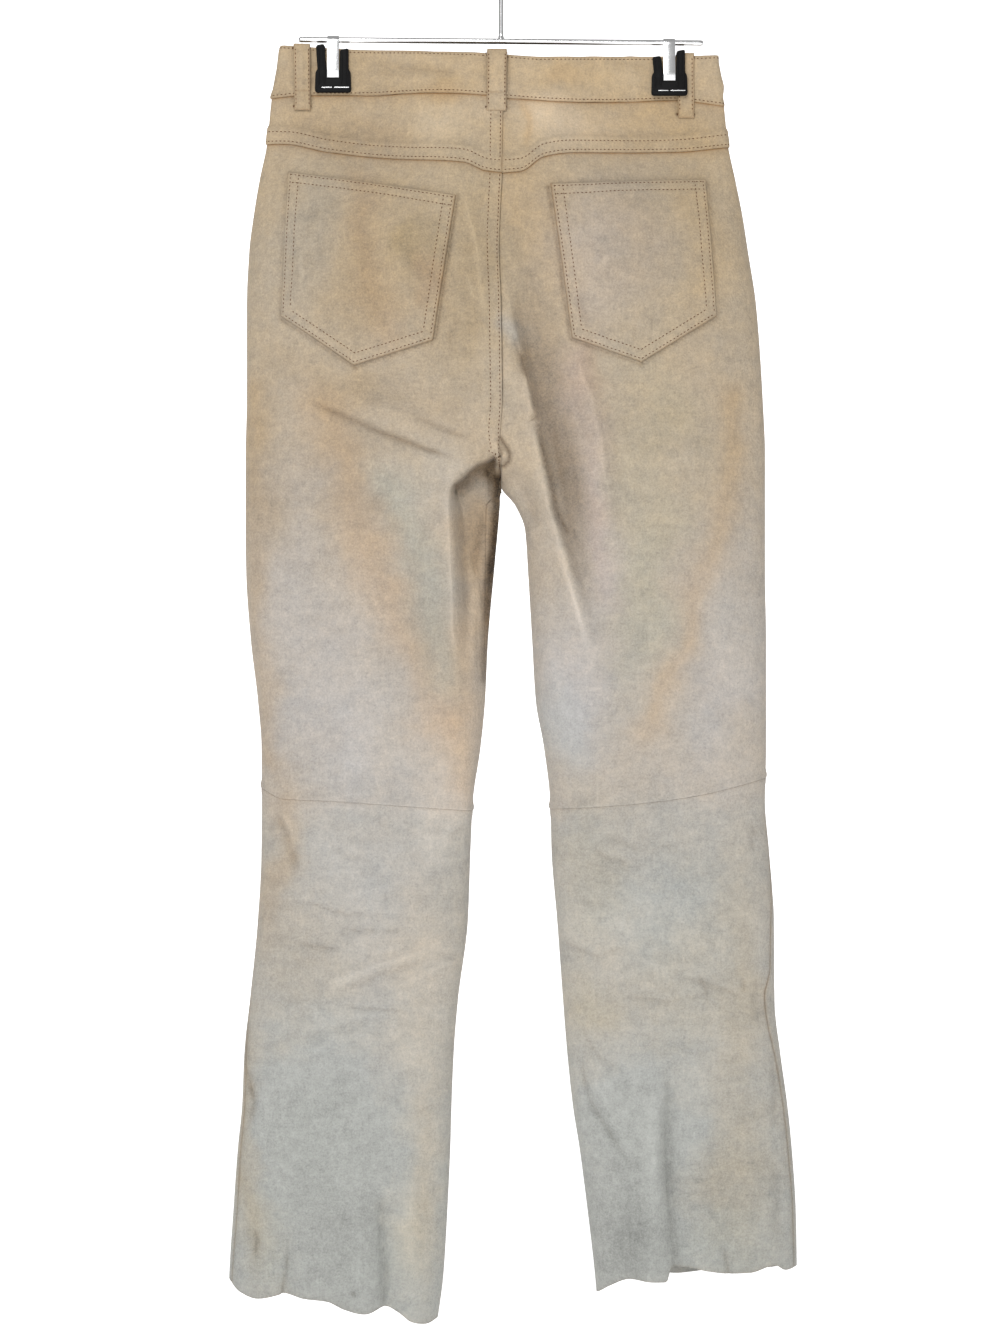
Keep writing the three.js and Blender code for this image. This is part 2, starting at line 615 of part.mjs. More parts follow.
function loopGeometry({ face, x, wide, top, bottom, arch }) {
  return patch({
    face,
    top: (share) => [x + (share - 0.5) * wide, top],
    bottom: (share) => [x + (share - 0.5) * wide, bottom],
    columns: 3,
    rows: 9,
    gap: loopGap,
    thick: loopThick,
    arch: (share) => arch * smooth(share / 0.2) * smooth((1 - share) / 0.2),
  });
}

function pocketGeometry(side) {
  const { topInner, topOuter, lowInner, point, lowOuter } = pockets[side];
  return patch({
    face: 'back',
    top: through([topInner, topOuter], [0, 1]),
    bottom: through([lowInner, point, lowOuter], [0, 0.5, 1]),
    columns: 8,
    rows: 8,
    gap: pocketGap,
    thick: suede,
  });
}

function flyFlap() {
  return patch({
    face: 'front',
    top: (share) => [mix(-35, 5, share), 160],
    bottom: (share) => [mix(-24, 5, share), mix(300, 334, smooth(share * 1.6))],
    columns: 5,
    rows: 9,
    gap: layGap,
    thick: suede,
  });
}

function flyZip() {
  const tapeHalf = 11;
  return patch({
    face: 'front',
    top: (share) => [flyMiddle + mix(-tapeHalf, tapeHalf, share), 162],
    bottom: (share) => [flyMiddle + mix(-tapeHalf, tapeHalf, share), flyEnd + 4],
    columns: 4,
    rows: 8,
    gap: -suede - layGap - 1,
    thick: 1,
  });
}

function zipSlider() {
  const bodyHalf = 3.1;
  const tabHalf = 2;
  const top = 166;
  const long = 24;
  return patch({
    face: 'front',
    top: (share) => [flyMiddle + (share - 0.5) * 2 * bodyHalf, top],
    bottom: (share) => [flyMiddle + (share - 0.5) * 2 * tabHalf, top + long],
    columns: 2,
    rows: 4,
    gap: -suede,
    thick: 1.4,
  });
}

const trousers = new THREE.Group();

function addPiece(name, geometry, colour, roughness, metalness) {
  const material = new THREE.MeshStandardMaterial({ color: colour, roughness, metalness });
  const piece = new THREE.Mesh(geometry, material);
  piece.name = name;
  trousers.add(piece);
}

const addCloth = (name, geometry, colour = colours.sand) => addPiece(name, geometry, colour, 0.95, 0);

addCloth('waistband', waistband());
for (const side of ['left', 'right']) {
  const toYoke = ['waistSeam', 'yokeSeam', 3];
  const toKnee = [['yokeSeam', 'crotch', 11], ['crotch', 'knee', 9]];
  const toHem = ['knee', 'hem', 12];
  addCloth(`yoke_${side}`, panel('back', side, [toYoke], 3));
  addCloth(`back_upper_${side}`, panel('back', side, toKnee, 0));
  addCloth(`back_lower_${side}`, panel('back', side, [toHem], -4), colours.stone);
  addCloth(`front_upper_${side}`, panel('front', side, [toYoke, ...toKnee], 3));
  addCloth(`front_lower_${side}`, panel('front', side, [toHem], -4), colours.stone);
  addCloth(`pocket_${side}`, pocketGeometry(side));
}
for (const loop of beltLoops) addCloth(loop.name, loopGeometry(loop));
addCloth('fly_flap', flyFlap());
addPiece('fly_zip', flyZip(), colours.thread, 0.8, 0);
addPiece('zip_slider', zipSlider(), colours.brass, 0.4, 1);
addPiece('waist_button', waistButton(), colours.brass, 0.4, 1);

for (const clip of clips) {
  const backFace = -pinched - seamGap - clip.backLift - plateThick;
  const frontFace = pinched + seamGap;
  addPiece(`${clip.name}_back_jaw`, plateOf(jawShape(clip), plateThick, backFace), colours.black, 0.4, 0);
  addPiece(`${clip.name}_front_jaw`, plateOf(jawShape(clip), plateThick, frontFace), colours.black, 0.4, 0);
  addPiece(`${clip.name}_spring`, springGeometry(clip), colours.steel, 0.25, 1);
}
addPiece('hanger_frame', hangerFrame(), colours.steel, 0.25, 1);

export default trousers;
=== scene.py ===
import math
import bpy
import numpy as np
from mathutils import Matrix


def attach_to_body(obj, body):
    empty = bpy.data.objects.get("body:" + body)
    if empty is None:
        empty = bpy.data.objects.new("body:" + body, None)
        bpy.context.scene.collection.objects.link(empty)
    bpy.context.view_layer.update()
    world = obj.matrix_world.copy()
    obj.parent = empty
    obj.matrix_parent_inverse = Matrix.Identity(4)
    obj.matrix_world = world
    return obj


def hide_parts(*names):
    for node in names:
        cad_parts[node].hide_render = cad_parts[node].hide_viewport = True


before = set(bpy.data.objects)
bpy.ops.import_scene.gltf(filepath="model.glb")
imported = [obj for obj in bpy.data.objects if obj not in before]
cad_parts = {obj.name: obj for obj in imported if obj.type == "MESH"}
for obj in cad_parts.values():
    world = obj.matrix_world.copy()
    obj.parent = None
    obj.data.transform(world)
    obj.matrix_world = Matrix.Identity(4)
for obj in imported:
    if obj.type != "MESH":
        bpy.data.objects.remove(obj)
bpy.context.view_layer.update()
mm = 0.001
toBack, toFront = (0, -1, 0), (0, 1, 0)

# Everything is in millimetres until a mesh is made. "Drop" is the distance below the point where the
# hook bears on its rail, x runs to the wearer's right and y out of the front. "Turn" runs round one half
# of the garment: 0 at its inner edge, 1 at the side seam, 2 at the inner edge again by way of the front.

# x of the inner and outer edges of both halves, down the garment
outline = {
    "drop": [96, 147, 186, 215, 245, 277, 324, 403, 449, 476, 492, 513, 550,
             607, 658, 698, 743, 788, 844, 913, 955, 1002, 1037, 1091, 1147, 1185],
    "leftOuter": [-185, -195, -199, -205, -210, -214, -216, -216, -217, -217, -217, -217, -216.5,
                  -212.5, -206.5, -203.5, -203.2, -203.6, -206.6, -213.4, -218, -220,
                  -223.5, -227.5, -231, -232],
    "leftInner": [1.7, 1.7, 1.2, 0.9, -0.6, -1.6, 0, 1, -1, 0, -0.9, -2.6, -6,
                  -11, -13.5, -17.4, -23.8, -26, -28, -36.6, -40, -42, -43, -45.5, -49, -54],
    "rightInner": [1.7, 1.7, 1.2, 0.9, -0.6, -1.6, 0, 1, -1, 0, 12, 20.4, 23,
                   26.4, 29.5, 36.5, 41.7, 43, 47.6, 52.7, 56, 61, 66.5, 73.5, 79.9, 83],
    "rightOuter": [182, 189, 193, 199, 205, 210, 217, 222.5, 224.4, 224.4, 224.4, 224.4, 224.4,
                   225.3, 225.3, 225.3, 224.4, 228, 232, 232.5, 237, 243.5, 247, 250.5, 251.4, 251.4],
}
# How far each face stands off the middle plane, how square the sections are (2 is an ellipse), and
# "stand": 1 where both halves make one section, 0 where each leg closes round on its own
depths = {
    "drop": [96, 147, 215, 300, 400, 430, 449, 463, 476, 607, 743, 844, 1002, 1185],
    "back": [22, 28, 40, 47, 43, 41, 40, 38, 37, 34, 30, 28, 28, 31],
    "front": [20, 24, 30, 34, 36, 36, 36, 35, 35, 33, 30, 28, 27, 29],
    "square": [2.2, 2.2, 2.2, 2.3, 2.4, 2.4, 2.4, 2.4, 2.4, 2.5, 2.5, 2.5, 2.5, 2.4],
    "stand": [1, 1, 1, 1, 1, 0.9, 0.66, 0.34, 0, 0, 0, 0, 0, 0],
}
# The drop of each line that runs round the garment, from a half's inner edge (0) to its side seam (1)
levels = {
    "waistTop": {
        "backLeft": [(0, 112.2), (0.3, 109), (0.68, 105), (1, 101.6)],
        "backRight": [(0, 112.2), (0.17, 114.6), (0.47, 112), (0.7, 111), (1, 110)],
        "frontLeft": [(0, 119), (0.5, 112), (1, 101.6)],
        "frontRight": [(0, 119), (0.5, 116), (1, 110)],
    },
    "waistSeam": {
        "backLeft": [(0, 150), (0.1, 147), (0.45, 144.2), (0.85, 144.2), (1, 146.7)],
        "backRight": [(0, 150), (0.26, 152.6), (0.78, 148.4), (1, 153)],
        "frontLeft": [(0, 157), (0.5, 152), (1, 146.7)],
        "frontRight": [(0, 157), (0.5, 155), (1, 153)],
    },
    "yokeSeam": {
        "backLeft": [(0, 214.5), (0.06, 213), (0.16, 205), (0.42, 201), (0.74, 193), (0.92, 186), (1, 185.8)],
        "backRight": [(0, 214.5), (0.08, 213), (0.18, 200.5), (0.3, 196.4), (0.58, 194.3), (0.78, 193),
                      (1, 188.3)],
        "frontLeft": [(0, 200), (1, 185.8)],
        "frontRight": [(0, 200), (1, 188.3)],
    },
    "knee": {
        "backLeft": [(0, 751.5), (0.34, 746.8), (0.7, 742.5), (0.89, 741.2), (1, 732.3)],
        "backRight": [(0, 750), (0.23, 747.6), (0.52, 742.5), (0.7, 737.4), (1, 723.8)],
        "frontLeft": [(0, 751.5), (1, 732.3)],
        "frontRight": [(0, 750), (1, 723.8)],
    },
    "hem": {
        "backLeft": [(0, 1181), (0.05, 1184.4), (0.12, 1182), (0.19, 1173.5), (0.25, 1168.4), (0.34, 1174.3),
                     (0.44, 1170.9), (0.53, 1164), (0.64, 1161.6), (0.735, 1156.9), (0.755, 1158.6),
                     (0.86, 1162.4), (0.94, 1157.7), (1, 1148)],
        "backRight": [(0, 1159.5), (0.065, 1152.2), (0.17, 1145.4), (0.255, 1147.1), (0.345, 1147.5),
                      (0.38, 1134.4), (0.445, 1134.4), (0.55, 1137.8), (0.66, 1140.3), (0.76, 1139.9),
                      (0.885, 1134.4), (0.94, 1139), (1, 1136.9)],
        "frontLeft": [(0, 1181), (0.2, 1172), (0.34, 1175), (0.65, 1166), (0.8, 1160), (1, 1148)],
        "frontRight": [(0, 1159.5), (0.25, 1146), (0.4, 1149), (0.7, 1140), (0.85, 1143), (1, 1136.9)],
    },
}
# How far the side seam and the inseam have rolled round onto the back, in turns
seamRoll = {
    "drop": [96, 476, 492, 560, 700, 790, 859, 884, 907, 930, 972, 1037, 1080, 1140, 1185],
    "leftSide": [0, 0, 0, 0, 0, 0, 0.02, 0.02, 0.03, 0.05, 0.08, 0.09, 0.1, 0.09, 0.06],
    "rightSide": [0, 0, 0, 0, 0, 0.04, 0.1, 0.105, 0.16, 0.15, 0.11, 0.1, 0.095, 0.09, 0.08],
    "leftInseam": [0, 0, 0.16, 0.12, 0, 0, 0, 0, 0, 0, 0, 0, 0, 0, 0],
    "rightInseam": [0, 0, 0, 0, 0, 0, 0, 0, 0, 0, 0, 0, 0, 0, 0],
}
sizes = {
    "pinched": 3.4,       # half thickness of the waist in the clips
    "clipX": (-142.5, 142.8),
    "clipFlat": 17.5,
    "suede": 1.3,
    "band": 2.6,
    "seamUnder": 4.0,     # how far a piece runs on under its neighbour's edge
    "seamLift": 1.5,      # how far the upper piece stands over it
}

# Creases listed for each face: kind, rise, width, shade, the points of the line as x and drop in
# turn, and options. "soft" is a round trough or ridge, "crease" has a sharp bottom or crest, and "step"
# keeps its rise on the left of its line for "reach" millimetres. A negative rise goes into the garment.
# A line fades out over "tail" past its ends and over "taper" before them, between the two drops of
# "fade" and outside the two x of "within". "spread" makes a step wider from one drop to another.
# The shade column is painted onto the colour along each line: below 0 it is painted shade in troughs,
# recesses and beside raised edges, and the darkest of it also browns the cloth; above 0 it is painted
# highlight on crests, with some pale lines of rubbed wear.
creases = {}
creases["back"] = [
    # seat and right thigh
    ("soft", -3.5, 9, -0.0455, (2, 230, 20, 285, 33, 325)),
    ("step", -7.5, 12, -0.03, (13, 356, 18, 376, 23, 400, 29, 442, 38, 485, 47, 520, 60, 560),
     dict(reach=44, tail=40)),
    ("step", 0, 5, -0.22, (12, 352, 18, 376, 24, 400, 30, 442, 39, 485, 48, 522), dict(reach=44, tail=40)),
    ("crease", -1.2, 2.2, -0.38, (16, 363, 21.5, 385, 27, 404, 31, 432, 38, 461, 47, 495, 58, 520),
     dict(taper=10)),
    ("soft", -0.6, 8, -0.1, (30, 386, 38, 412, 46, 440, 56, 474, 68, 512)),
    ("crease", -0.6, 2, -0.11, (40, 418, 49, 462, 57, 500, 69, 540)),
    ("crease", -0.5, 2.2, -0.09, (50, 408, 61, 460, 69, 506)),
    ("crease", 0.5, 1.8, 0.06, (57, 398, 68, 440, 75, 482)),
    ("crease", 2.6, 3, 0.26, (19, 370, 28, 440, 38, 485, 50, 530, 62, 575, 71, 600), dict(taper=30)),
    ("crease", -3.5, 5, -0.21, (10, 350, 16, 366, 22, 388)),
    ("crease", 2.2, 2.6, 0.2, (60, 368, 76, 402, 84, 438, 88, 480)),
    ("soft", -3.4, 8, -0.068, (68, 372, 86, 410, 96, 460, 102, 520)),
    ("soft", 2.4, 10, 0, (80, 380, 102, 440, 114, 510)),
    ("crease", 1.2, 2.4, 0.17, (40, 506, 52, 548, 64, 582, 77, 616)),
    ("crease", 0.8, 2.2, 0.12, (56, 552, 66, 590, 76, 626)),
    ("soft", -2.2, 14, -0.0286, (112, 520, 100, 600, 88, 690)),
    ("soft", 2.6, 9, 0.057, (10, 300, 9, 360, 12, 410)),
    ("soft", 2.2, 10, 0.0286, (30, 590, 48, 640, 60, 700)),
    ("crease", 2.4, 2.4, 0.12, (-5, 438, -3.4, 446, -2, 453), dict(tail=3, taper=3)),
    ("crease", 2.6, 2.4, 0.12, (2, 446, 3.6, 451, 1.4, 454.5), dict(tail=3, taper=3)),
    ("crease", -3, 1.8, -0.5, (-2, 434, 1.2, 440, 5.2, 445.5, 7.2, 450, 6.6, 455.5, 3, 459.5, -1.5, 459.5,
     -4.6, 455), dict(tail=3, taper=5)),
    ("crease", -2, 1.6, -0.5, (-1.6, 443, -0.6, 447, 1, 451.5), dict(tail=2, taper=2)),
    ("soft", 13, 3, 0.2, (-1.8, 453, -1.6, 459), dict(tail=4, taper=0, within=(-60, 0.8))),
    ("soft", 3.2, 8, 0.057, (20, 452, 32, 478, 40, 502)),
    ("soft", -3, 6, -0.09, (12, 466, 24, 486, 30, 512), dict(tail=5)),
    ("soft", -1.8, 16, -0.0234, (150, 560, 172, 610, 182, 680)),
    ("soft", -1.8, 12, -0.0234, (195, 330, 206, 420, 205, 560)),
    # across the waistband
    ("crease", -1.7, 4.4, -0.15, (-118, 114, -99.5, 119, -82.5, 122, -66, 123.3, -46, 126.3, -27, 124.6)),
    ("soft", 1.3, 5, 0.05, (-99.5, 125, -75, 131, -52, 133)),
    ("crease", -1, 2.2, -0.13, (-108, 124.5, -92.7, 127.6, -74.8, 130)),
    ("soft", 1.2, 4, 0.04, (-112, 109, -80, 112, -40, 115)),
    ("crease", -1.3, 4.4, -0.12, (84, 114.5, 104, 118, 128, 120)),
    ("crease", -0.8, 2.6, -0.08, (50, 122.5, 68, 118, 84, 115)),
    ("soft", 0.8, 3, 0.07, (22, 109, 27, 121), dict(tail=5)),
    ("soft", 0.9, 4.4, 0.05, (94, 127, 120, 130)),
    ("crease", -0.9, 3, -0.1, (-184, 118, -189, 132, -187, 142), dict(tail=6)),
    ("soft", 0.8, 4, 0.04, (170, 112, 174, 126), dict(tail=6)),
    # painted shadows beside the belt loops, and one under the centre loop
    ("crease", 0, 1.4, -0.3, (5.9, 113, 5.6, 136, 6.2, 160), dict(tail=2)),
    ("crease", 0, 1.4, -0.14, (-12.4, 112, -12.6, 158), dict(tail=2)),
    ("crease", 0, 1.4, -0.24, (-160.9, 106, -160.6, 154), dict(tail=2)),
    ("crease", 0, 1.6, -0.24, (148.8, 146, 149.2, 161), dict(tail=2)),
    ("soft", 0, 3, -0.16, (-6, 165, 4, 165), dict(tail=3)),
    # pale wrinkles on the left pocket
    ("crease", 0.6, 1.8, 0.16, (-160.6, 262, -169, 291, -163, 307)),
    ("crease", 0.5, 1.8, 0.12, (-150, 246, -157, 268, -160, 284)),
    ("crease", 0.5, 1.6, 0.12, (-171, 262, -167, 300, -173, 322)),
    # painted shadows beside the pockets' edges
    ("crease", 0, 1.5, -0.36, (-35.9, 233, -55.2, 355), dict(tail=2)),
    ("crease", 0, 1.5, -0.26, (-57, 357, -123, 378), dict(tail=2)),
    ("crease", 0, 1.5, -0.26, (-123, 378, -186, 336), dict(tail=2)),
    ("crease", 0, 1.6, -0.16, (-187, 334, -182.2, 212), dict(tail=2)),
    ("crease", 0, 1.8, -0.07, (-178, 209, -40, 231), dict(tail=2)),
    ("crease", 0, 1.5, -0.34, (39.3, 226, 57.5, 352), dict(tail=2)),
    ("crease", 0, 1.5, -0.3, (58, 354.6, 117.8, 375.4), dict(tail=2)),
    ("crease", 0, 1.5, -0.26, (117.8, 375.4, 182, 335), dict(tail=2)),
    ("crease", 0, 1.5, -0.22, (183.3, 332, 174.7, 219), dict(tail=2)),
    ("crease", 0, 1.8, -0.07, (44, 221.4, 170, 215), dict(tail=2)),
    # small wrinkles on the right pocket
    ("crease", 0.7, 2, 0.1, (144, 252, 153, 243, 162, 236)),
    ("crease", 0.5, 2, 0.07, (80, 288, 104, 280, 118, 279)),
    ("crease", -0.7, 1.8, -0.12, (125, 334, 129, 345), dict(taper=3)),
    ("crease", -0.6, 1.8, -0.1, (110, 356, 113, 343), dict(taper=3)),
    ("crease", -1.4, 3.4, -0.1, (70, 366, 80, 378, 90, 392)),
    # left seat and thigh
    ("crease", -4, 2.4, -0.27, (-162, 404, -139, 415, -101, 432, -64, 446, -38, 454), dict(taper=26)),
    ("soft", -2, 8, -0.03, (-150, 412, -101, 435, -60, 450)),
    ("soft", 3.4, 10, 0.028, (-150, 394, -105, 412, -60, 430)),
    ("crease", 1.6, 5, -0.03, (-160, 398, -180, 388, -196, 384)),
    ("crease", -2.2, 2.6, -0.15, (-78, 417, -45, 431, -24, 438)),
    ("crease", 1.2, 2.2, 0.19, (-34, 222, -21, 274, -14, 340)),
    ("crease", -1.2, 4, -0.12, (-32, 330, -44, 352, -40, 372)),
    ("crease", 1, 2.2, 0.152, (-30, 296, -24, 318, -10, 330)),
    ("soft", 1.8, 9, 0.0234, (-36, 220, -22, 275, -14, 340, -9, 400)),
    ("soft", 2.5, 8, 0.057, (-12, 380, -13, 430, -17, 446)),
    ("step", -16, 2.6, -0.13, (3, 447, -5, 450.5, -11, 454, -20, 457.5, -27, 463, -33.5, 470, -40, 475,
     -43.5, 486, -43.5, 500, -42.5, 515, -41, 540, -38, 605, -37, 720), dict(reach=60, tail=8,
     fade=(484, 680), spread=(474, 500, 5), within=(-70, 0.8))),
    # painted shadow, browned, right under the overhang, and down the inside of the thigh
    ("step", 0, 1.5, -0.42, (3, 447.5, -5, 451, -11, 454.5, -20, 458, -27, 463.5, -33.5, 470.5, -39, 474.5),
     dict(reach=12, tail=3, within=(-60, -4.5))),
    ("soft", 0, 8, -0.45, (-5, 455, -6, 460, -7, 466), dict(within=(-60, -3.5))),
    ("soft", 0, 4.8, -0.9, (-1, 470, -3, 485, -5, 515, -7.5, 545, -11.5, 590, -14, 640),
     dict(fade=(520, 720), within=(-60, 0.5))),
    ("soft", -2.2, 4, -0.2, (-14, 496, -18, 514, -22, 535, -21, 556)),
    ("crease", -1.6, 2.4, -0.3, (-13, 458, -10, 470, -9, 488)),
    ("crease", -1.6, 2.4, -0.09, (-21, 446, -24, 452, -26, 460), dict(tail=3)),
    ("crease", -1.6, 2.4, -0.09, (-12, 441, -14, 447, -15, 454), dict(tail=3)),
    ("crease", -2, 2.6, -0.14, (-11, 540, -15, 565, -12, 600)),
    ("crease", 2.6, 2.6, 0.25, (-43.5, 474, -45, 490, -44.5, 506, -43, 540, -41, 590, -39, 612),
     dict(taper=12)),
    ("crease", 3, 5, 0.133, (0, 443, -10, 447, -24, 453, -36, 464, -44, 478), dict(taper=4)),
    ("soft", -2.6, 12, -0.0338, (-60, 480, -66, 560, -60, 650)),
    ("soft", 2.4, 5, 0.114, (-27, 520, -22, 570, -27, 640)),
    ("soft", -1.6, 12, -0.0208, (-196, 330, -202, 420, -196, 540)),
    ("soft", 1.6, 22, 0.0208, (-110, 480, -120, 560, -112, 660)),
    # behind the knees and the calves
    ("crease", 2.6, 3, 0.19, (-184.6, 751, -179, 768, -174, 790)),
    ("soft", -3.2, 3.6, -0.17, (-192, 752, -181, 768, -175, 788, -172, 804)),
    ("soft", -1.6, 12, -0.0208, (-120, 762, -98, 790, -84, 830)),
    ("crease", 2.4, 3, 0.15, (-156, 899, -99, 878, -73, 870, -36, 855)),
    ("soft", -1.6, 3.4, -0.11, (-146, 904, -95, 885, -56, 873)),
    ("crease", 2.2, 3.2, 0.15, (-86, 897, -56, 884, -35, 878)),
    ("crease", 1.4, 3, 0.11, (-128, 862, -104, 853, -84, 840)),
    ("crease", 1.2, 3, 0.1, (-140, 826, -112, 815, -88, 812)),
    ("crease", 1, 3, 0.09, (-150, 792, -124, 783, -96, 786)),
    ("crease", 1.2, 2.6, 0.06, (-66, 836, -52, 828, -38, 826)),
    ("crease", -1.4, 2.4, -0.075, (-175, 947, -150, 935, -115, 927, -82, 922)),
    ("crease", 1.2, 3, 0.07, (-172, 943, -148, 931, -114, 923, -80, 918)),
    ("crease", -1.2, 2.2, -0.15, (-140, 851, -108, 852, -74, 850)),
    ("crease", -1, 2.2, -0.14, (-175, 861, -156, 865, -132, 867)),
    ("crease", -1, 2.2, -0.15, (-140, 914, -100, 918, -66, 921)),
    ("crease", -1.6, 3, -0.12, (-45, 773, -28, 761)),
    ("crease", -1, 2.4, -0.12, (-168, 826, -130, 838, -104, 836)),
    ("crease", -0.8, 2.4, -0.12, (-72, 1003, -46, 997)),
    ("crease", -2.2, 3, -0.18, (-215, 930, -216, 965, -208, 1000)),
    ("crease", -2.2, 2.6, -0.21, (-212, 978, -208, 996, -212, 1018)),
    ("crease", -2.2, 2.6, -0.24, (-208, 1102, -206, 1114, -209, 1130)),
    ("crease", -6.5, 3.6, -0.1, (-102, 1060, -99, 1120, -98, 1240), dict(tail=60)),
    ("soft", 3.2, 12, 0.0416, (-122, 1050, -118, 1120, -122, 1230)),
    ("soft", 3.2, 11, 0.076, (-78, 1040, -74, 1120, -70, 1240)),
    ("crease", -2.6, 2.2, -0.3, (-179, 1118, -182, 1140, -188, 1180)),
    ("crease", -0.4, 1.6, -0.45, (-128, 1156, -121, 1158), dict(tail=2)),
    ("crease", -2, 2.4, -0.13, (75, 779, 88, 790, 100, 792, 112, 799)),
    ("crease", -1.6, 3.4, -0.1, (84, 768, 120, 786, 158, 776)),
    ("crease", -1.6, 3, -0.15, (214, 760, 211, 786)),
    ("crease", -1.4, 2.4, -0.21, (204.6, 890, 205.4, 906)),
    ("crease", -1.4, 2.6, -0.15, (150, 889, 186, 900, 210, 910)),
    ("crease", -1.2, 2.8, -0.12, (96, 905, 140, 912, 186, 901)),
    ("crease", -1.2, 2.8, -0.12, (46, 860, 80, 873, 110, 863)),
    ("crease", -3.2, 3, -0.14, (67, 952, 70, 980, 76, 998, 87, 1015, 98, 1032, 112, 1051)),
    ("soft", 2.2, 8, 0.057, (76, 950, 92, 985, 116, 1018)),
    ("crease", -1.6, 2.2, -0.12, (66, 930, 76, 950, 82, 958, 104, 970)),
    ("crease", -7.5, 4.4, -0.09, (142, 962, 140.5, 1037, 143, 1077, 147, 1125, 149, 1215), dict(tail=60)),
    ("soft", 4, 9, 0.095, (129, 970, 126, 1060, 130, 1200)),
    ("soft", 3.2, 11, 0.0416, (166, 990, 170, 1070, 172, 1200)),
    ("crease", -2.2, 2.4, -0.24, (188, 1116, 193, 1150)),
    ("soft", -2.6, 6, -0.075, (222, 880, 214, 906, 222, 935)),
    ("crease", -2.4, 4, -0.12, (228, 955, 233, 985, 231, 1020)),
    ("soft", -2.4, 5, -0.09, (230, 1040, 234, 1080, 232, 1120)),
    ("crease", -1.2, 1.8, -0.13, (164, 884, 173, 901, 175, 921)),
    ("crease", -1.2, 2.2, -0.1, (60, 818, 74, 828, 92, 830)),
    ("crease", 1, 2.4, 0.08, (112, 874, 136, 882, 160, 880)),
    ("crease", 1, 2.4, 0.07, (72, 970, 90, 1000, 104, 1026, 116, 1040)),
    ("crease", 1, 2.6, 0.07, (58, 836, 84, 846, 118, 842)),
    ("crease", -1, 2.2, -0.08, (-176, 914, -150, 906, -122, 905)),
    ("crease", -0.9, 2.4, -0.07, (-96, 764, -70, 770, -42, 765)),
    ("crease", -0.9, 2.4, -0.07, (-150, 775, -124, 790, -104, 792)),
]
creases["front"] = [
    ("soft", -6, 11, -0.078, (14, 345, 34, 410, 62, 500)),
    ("soft", -5.4, 11, -0.0702, (-12, 352, -36, 420, -70, 500)),
    ("soft", 2.6, 13, 0.0338, (40, 360, 74, 430, 104, 520)),
    ("crease", -2.6, 7, -0.0338, (-60, 405, -110, 392, -160, 384)),
    ("crease", -3, 7, -0.039, (58, 398, 112, 380, 168, 376)),
    ("crease", -2.2, 3, -0.1, (6, 424, 40, 408, 88, 402)),
    ("crease", -2, 3, -0.09, (-6, 422, -46, 410, -96, 406)),
    ("crease", -2.6, 3.4, -0.12, (8, 438, 36, 456, 64, 492)),
    ("crease", -2.4, 3.4, -0.11, (-8, 440, -40, 460, -72, 502)),
    ("crease", 1.8, 3.4, 0.09, (14, 434, 46, 444, 84, 452)),
    ("crease", 1.8, 3.4, 0.08, (-14, 436, -50, 444, -92, 448)),
    ("soft", -2.2, 8, -0.05, (36, 300, 66, 330, 110, 346)),
    ("soft", -2, 8, -0.05, (-40, 296, -80, 322, -130, 330)),
    ("crease", -1.6, 2.8, -0.09, (-160, 806, -116, 818, -72, 808)),
    ("crease", -1.4, 2.6, -0.08, (-168, 852, -120, 846, -70, 860)),
    ("crease", 1.6, 3, 0.1, (-150, 884, -104, 876, -62, 862)),
    ("crease", -2, 2.6, -0.13, (-184, 776, -176, 792, -172, 812)),
    ("crease", -1.6, 2.8, -0.09, (84, 806, 130, 818, 176, 810)),
    ("crease", 1.5, 3, 0.09, (92, 856, 136, 850, 188, 862)),
    ("crease", -1.4, 2.6, -0.08, (96, 892, 140, 900, 190, 890)),
    ("crease", -2, 3, -0.1, (78, 944, 90, 980, 112, 1016)),
    ("crease", -2, 2.8, -0.14, (-206, 1000, -200, 1036, -206, 1070)),
    ("soft", 1.8, 20, 0.0234, (-112, 520, -120, 600, -112, 700)),
    ("soft", 2, 20, 0.026, (128, 520, 132, 610, 128, 700)),
    ("crease", -2.8, 7, -0.0364, (-170, 716, -120, 728, -70, 722)),
    ("crease", -2.6, 7, -0.0338, (80, 712, 130, 722, 190, 704)),
    ("soft", -2, 9, -0.026, (-150, 790, -110, 806, -66, 796)),
    ("soft", -1.8, 9, -0.0234, (92, 800, 140, 812, 186, 792)),
    ("soft", -7, 10, -0.091, (-134, 990, -132, 1090, -136, 1230)),
    ("soft", 3.4, 12, 0.0442, (-96, 1020, -94, 1110, -92, 1230)),
    ("soft", -7, 10, -0.091, (170, 980, 168, 1070, 172, 1210)),
    ("soft", 3.2, 12, 0.0416, (128, 1010, 132, 1090, 130, 1205)),
]

# The suede's tones, as soft streaks on the back and soft patches on each face. Warm goes from grey
# (below 0) to tan, light from dark to pale, and rose from green to pink.
# A streak is warm, light, rose, width, points; a patch is warm, light, rose, x, drop, half sizes, lean.
streaks = [
    (0.1, -0.06, 0.15, 15, (-128, 226, -118, 264, -104, 310, -92, 352)),
    (0.24, -0.015, 0.16, 19, (-150, 412, -123, 492, -100, 562, -78, 612, -52, 680)),
    (0.22, -0.05, 0.04, 14, (-208, 400, -206, 560, -196, 700)),
    (-0.14, -0.035, -0.26, 17, (-96, 470, -74, 530, -60, 600, -52, 640)),
    (0.26, 0.03, 0.12, 15, (-40, 600, -34, 660, -38, 735)),
    (-0.08, 0.03, 0.3, 15, (64, 380, 78, 430, 84, 500, 92, 560)),
    (0.24, 0, 0.08, 13, (192, 400, 186, 470, 178, 540, 158, 610, 122, 680)),
    (0.06, -0.01, 0.04, 12, (84, 500, 86, 540)),
]
patches = {}
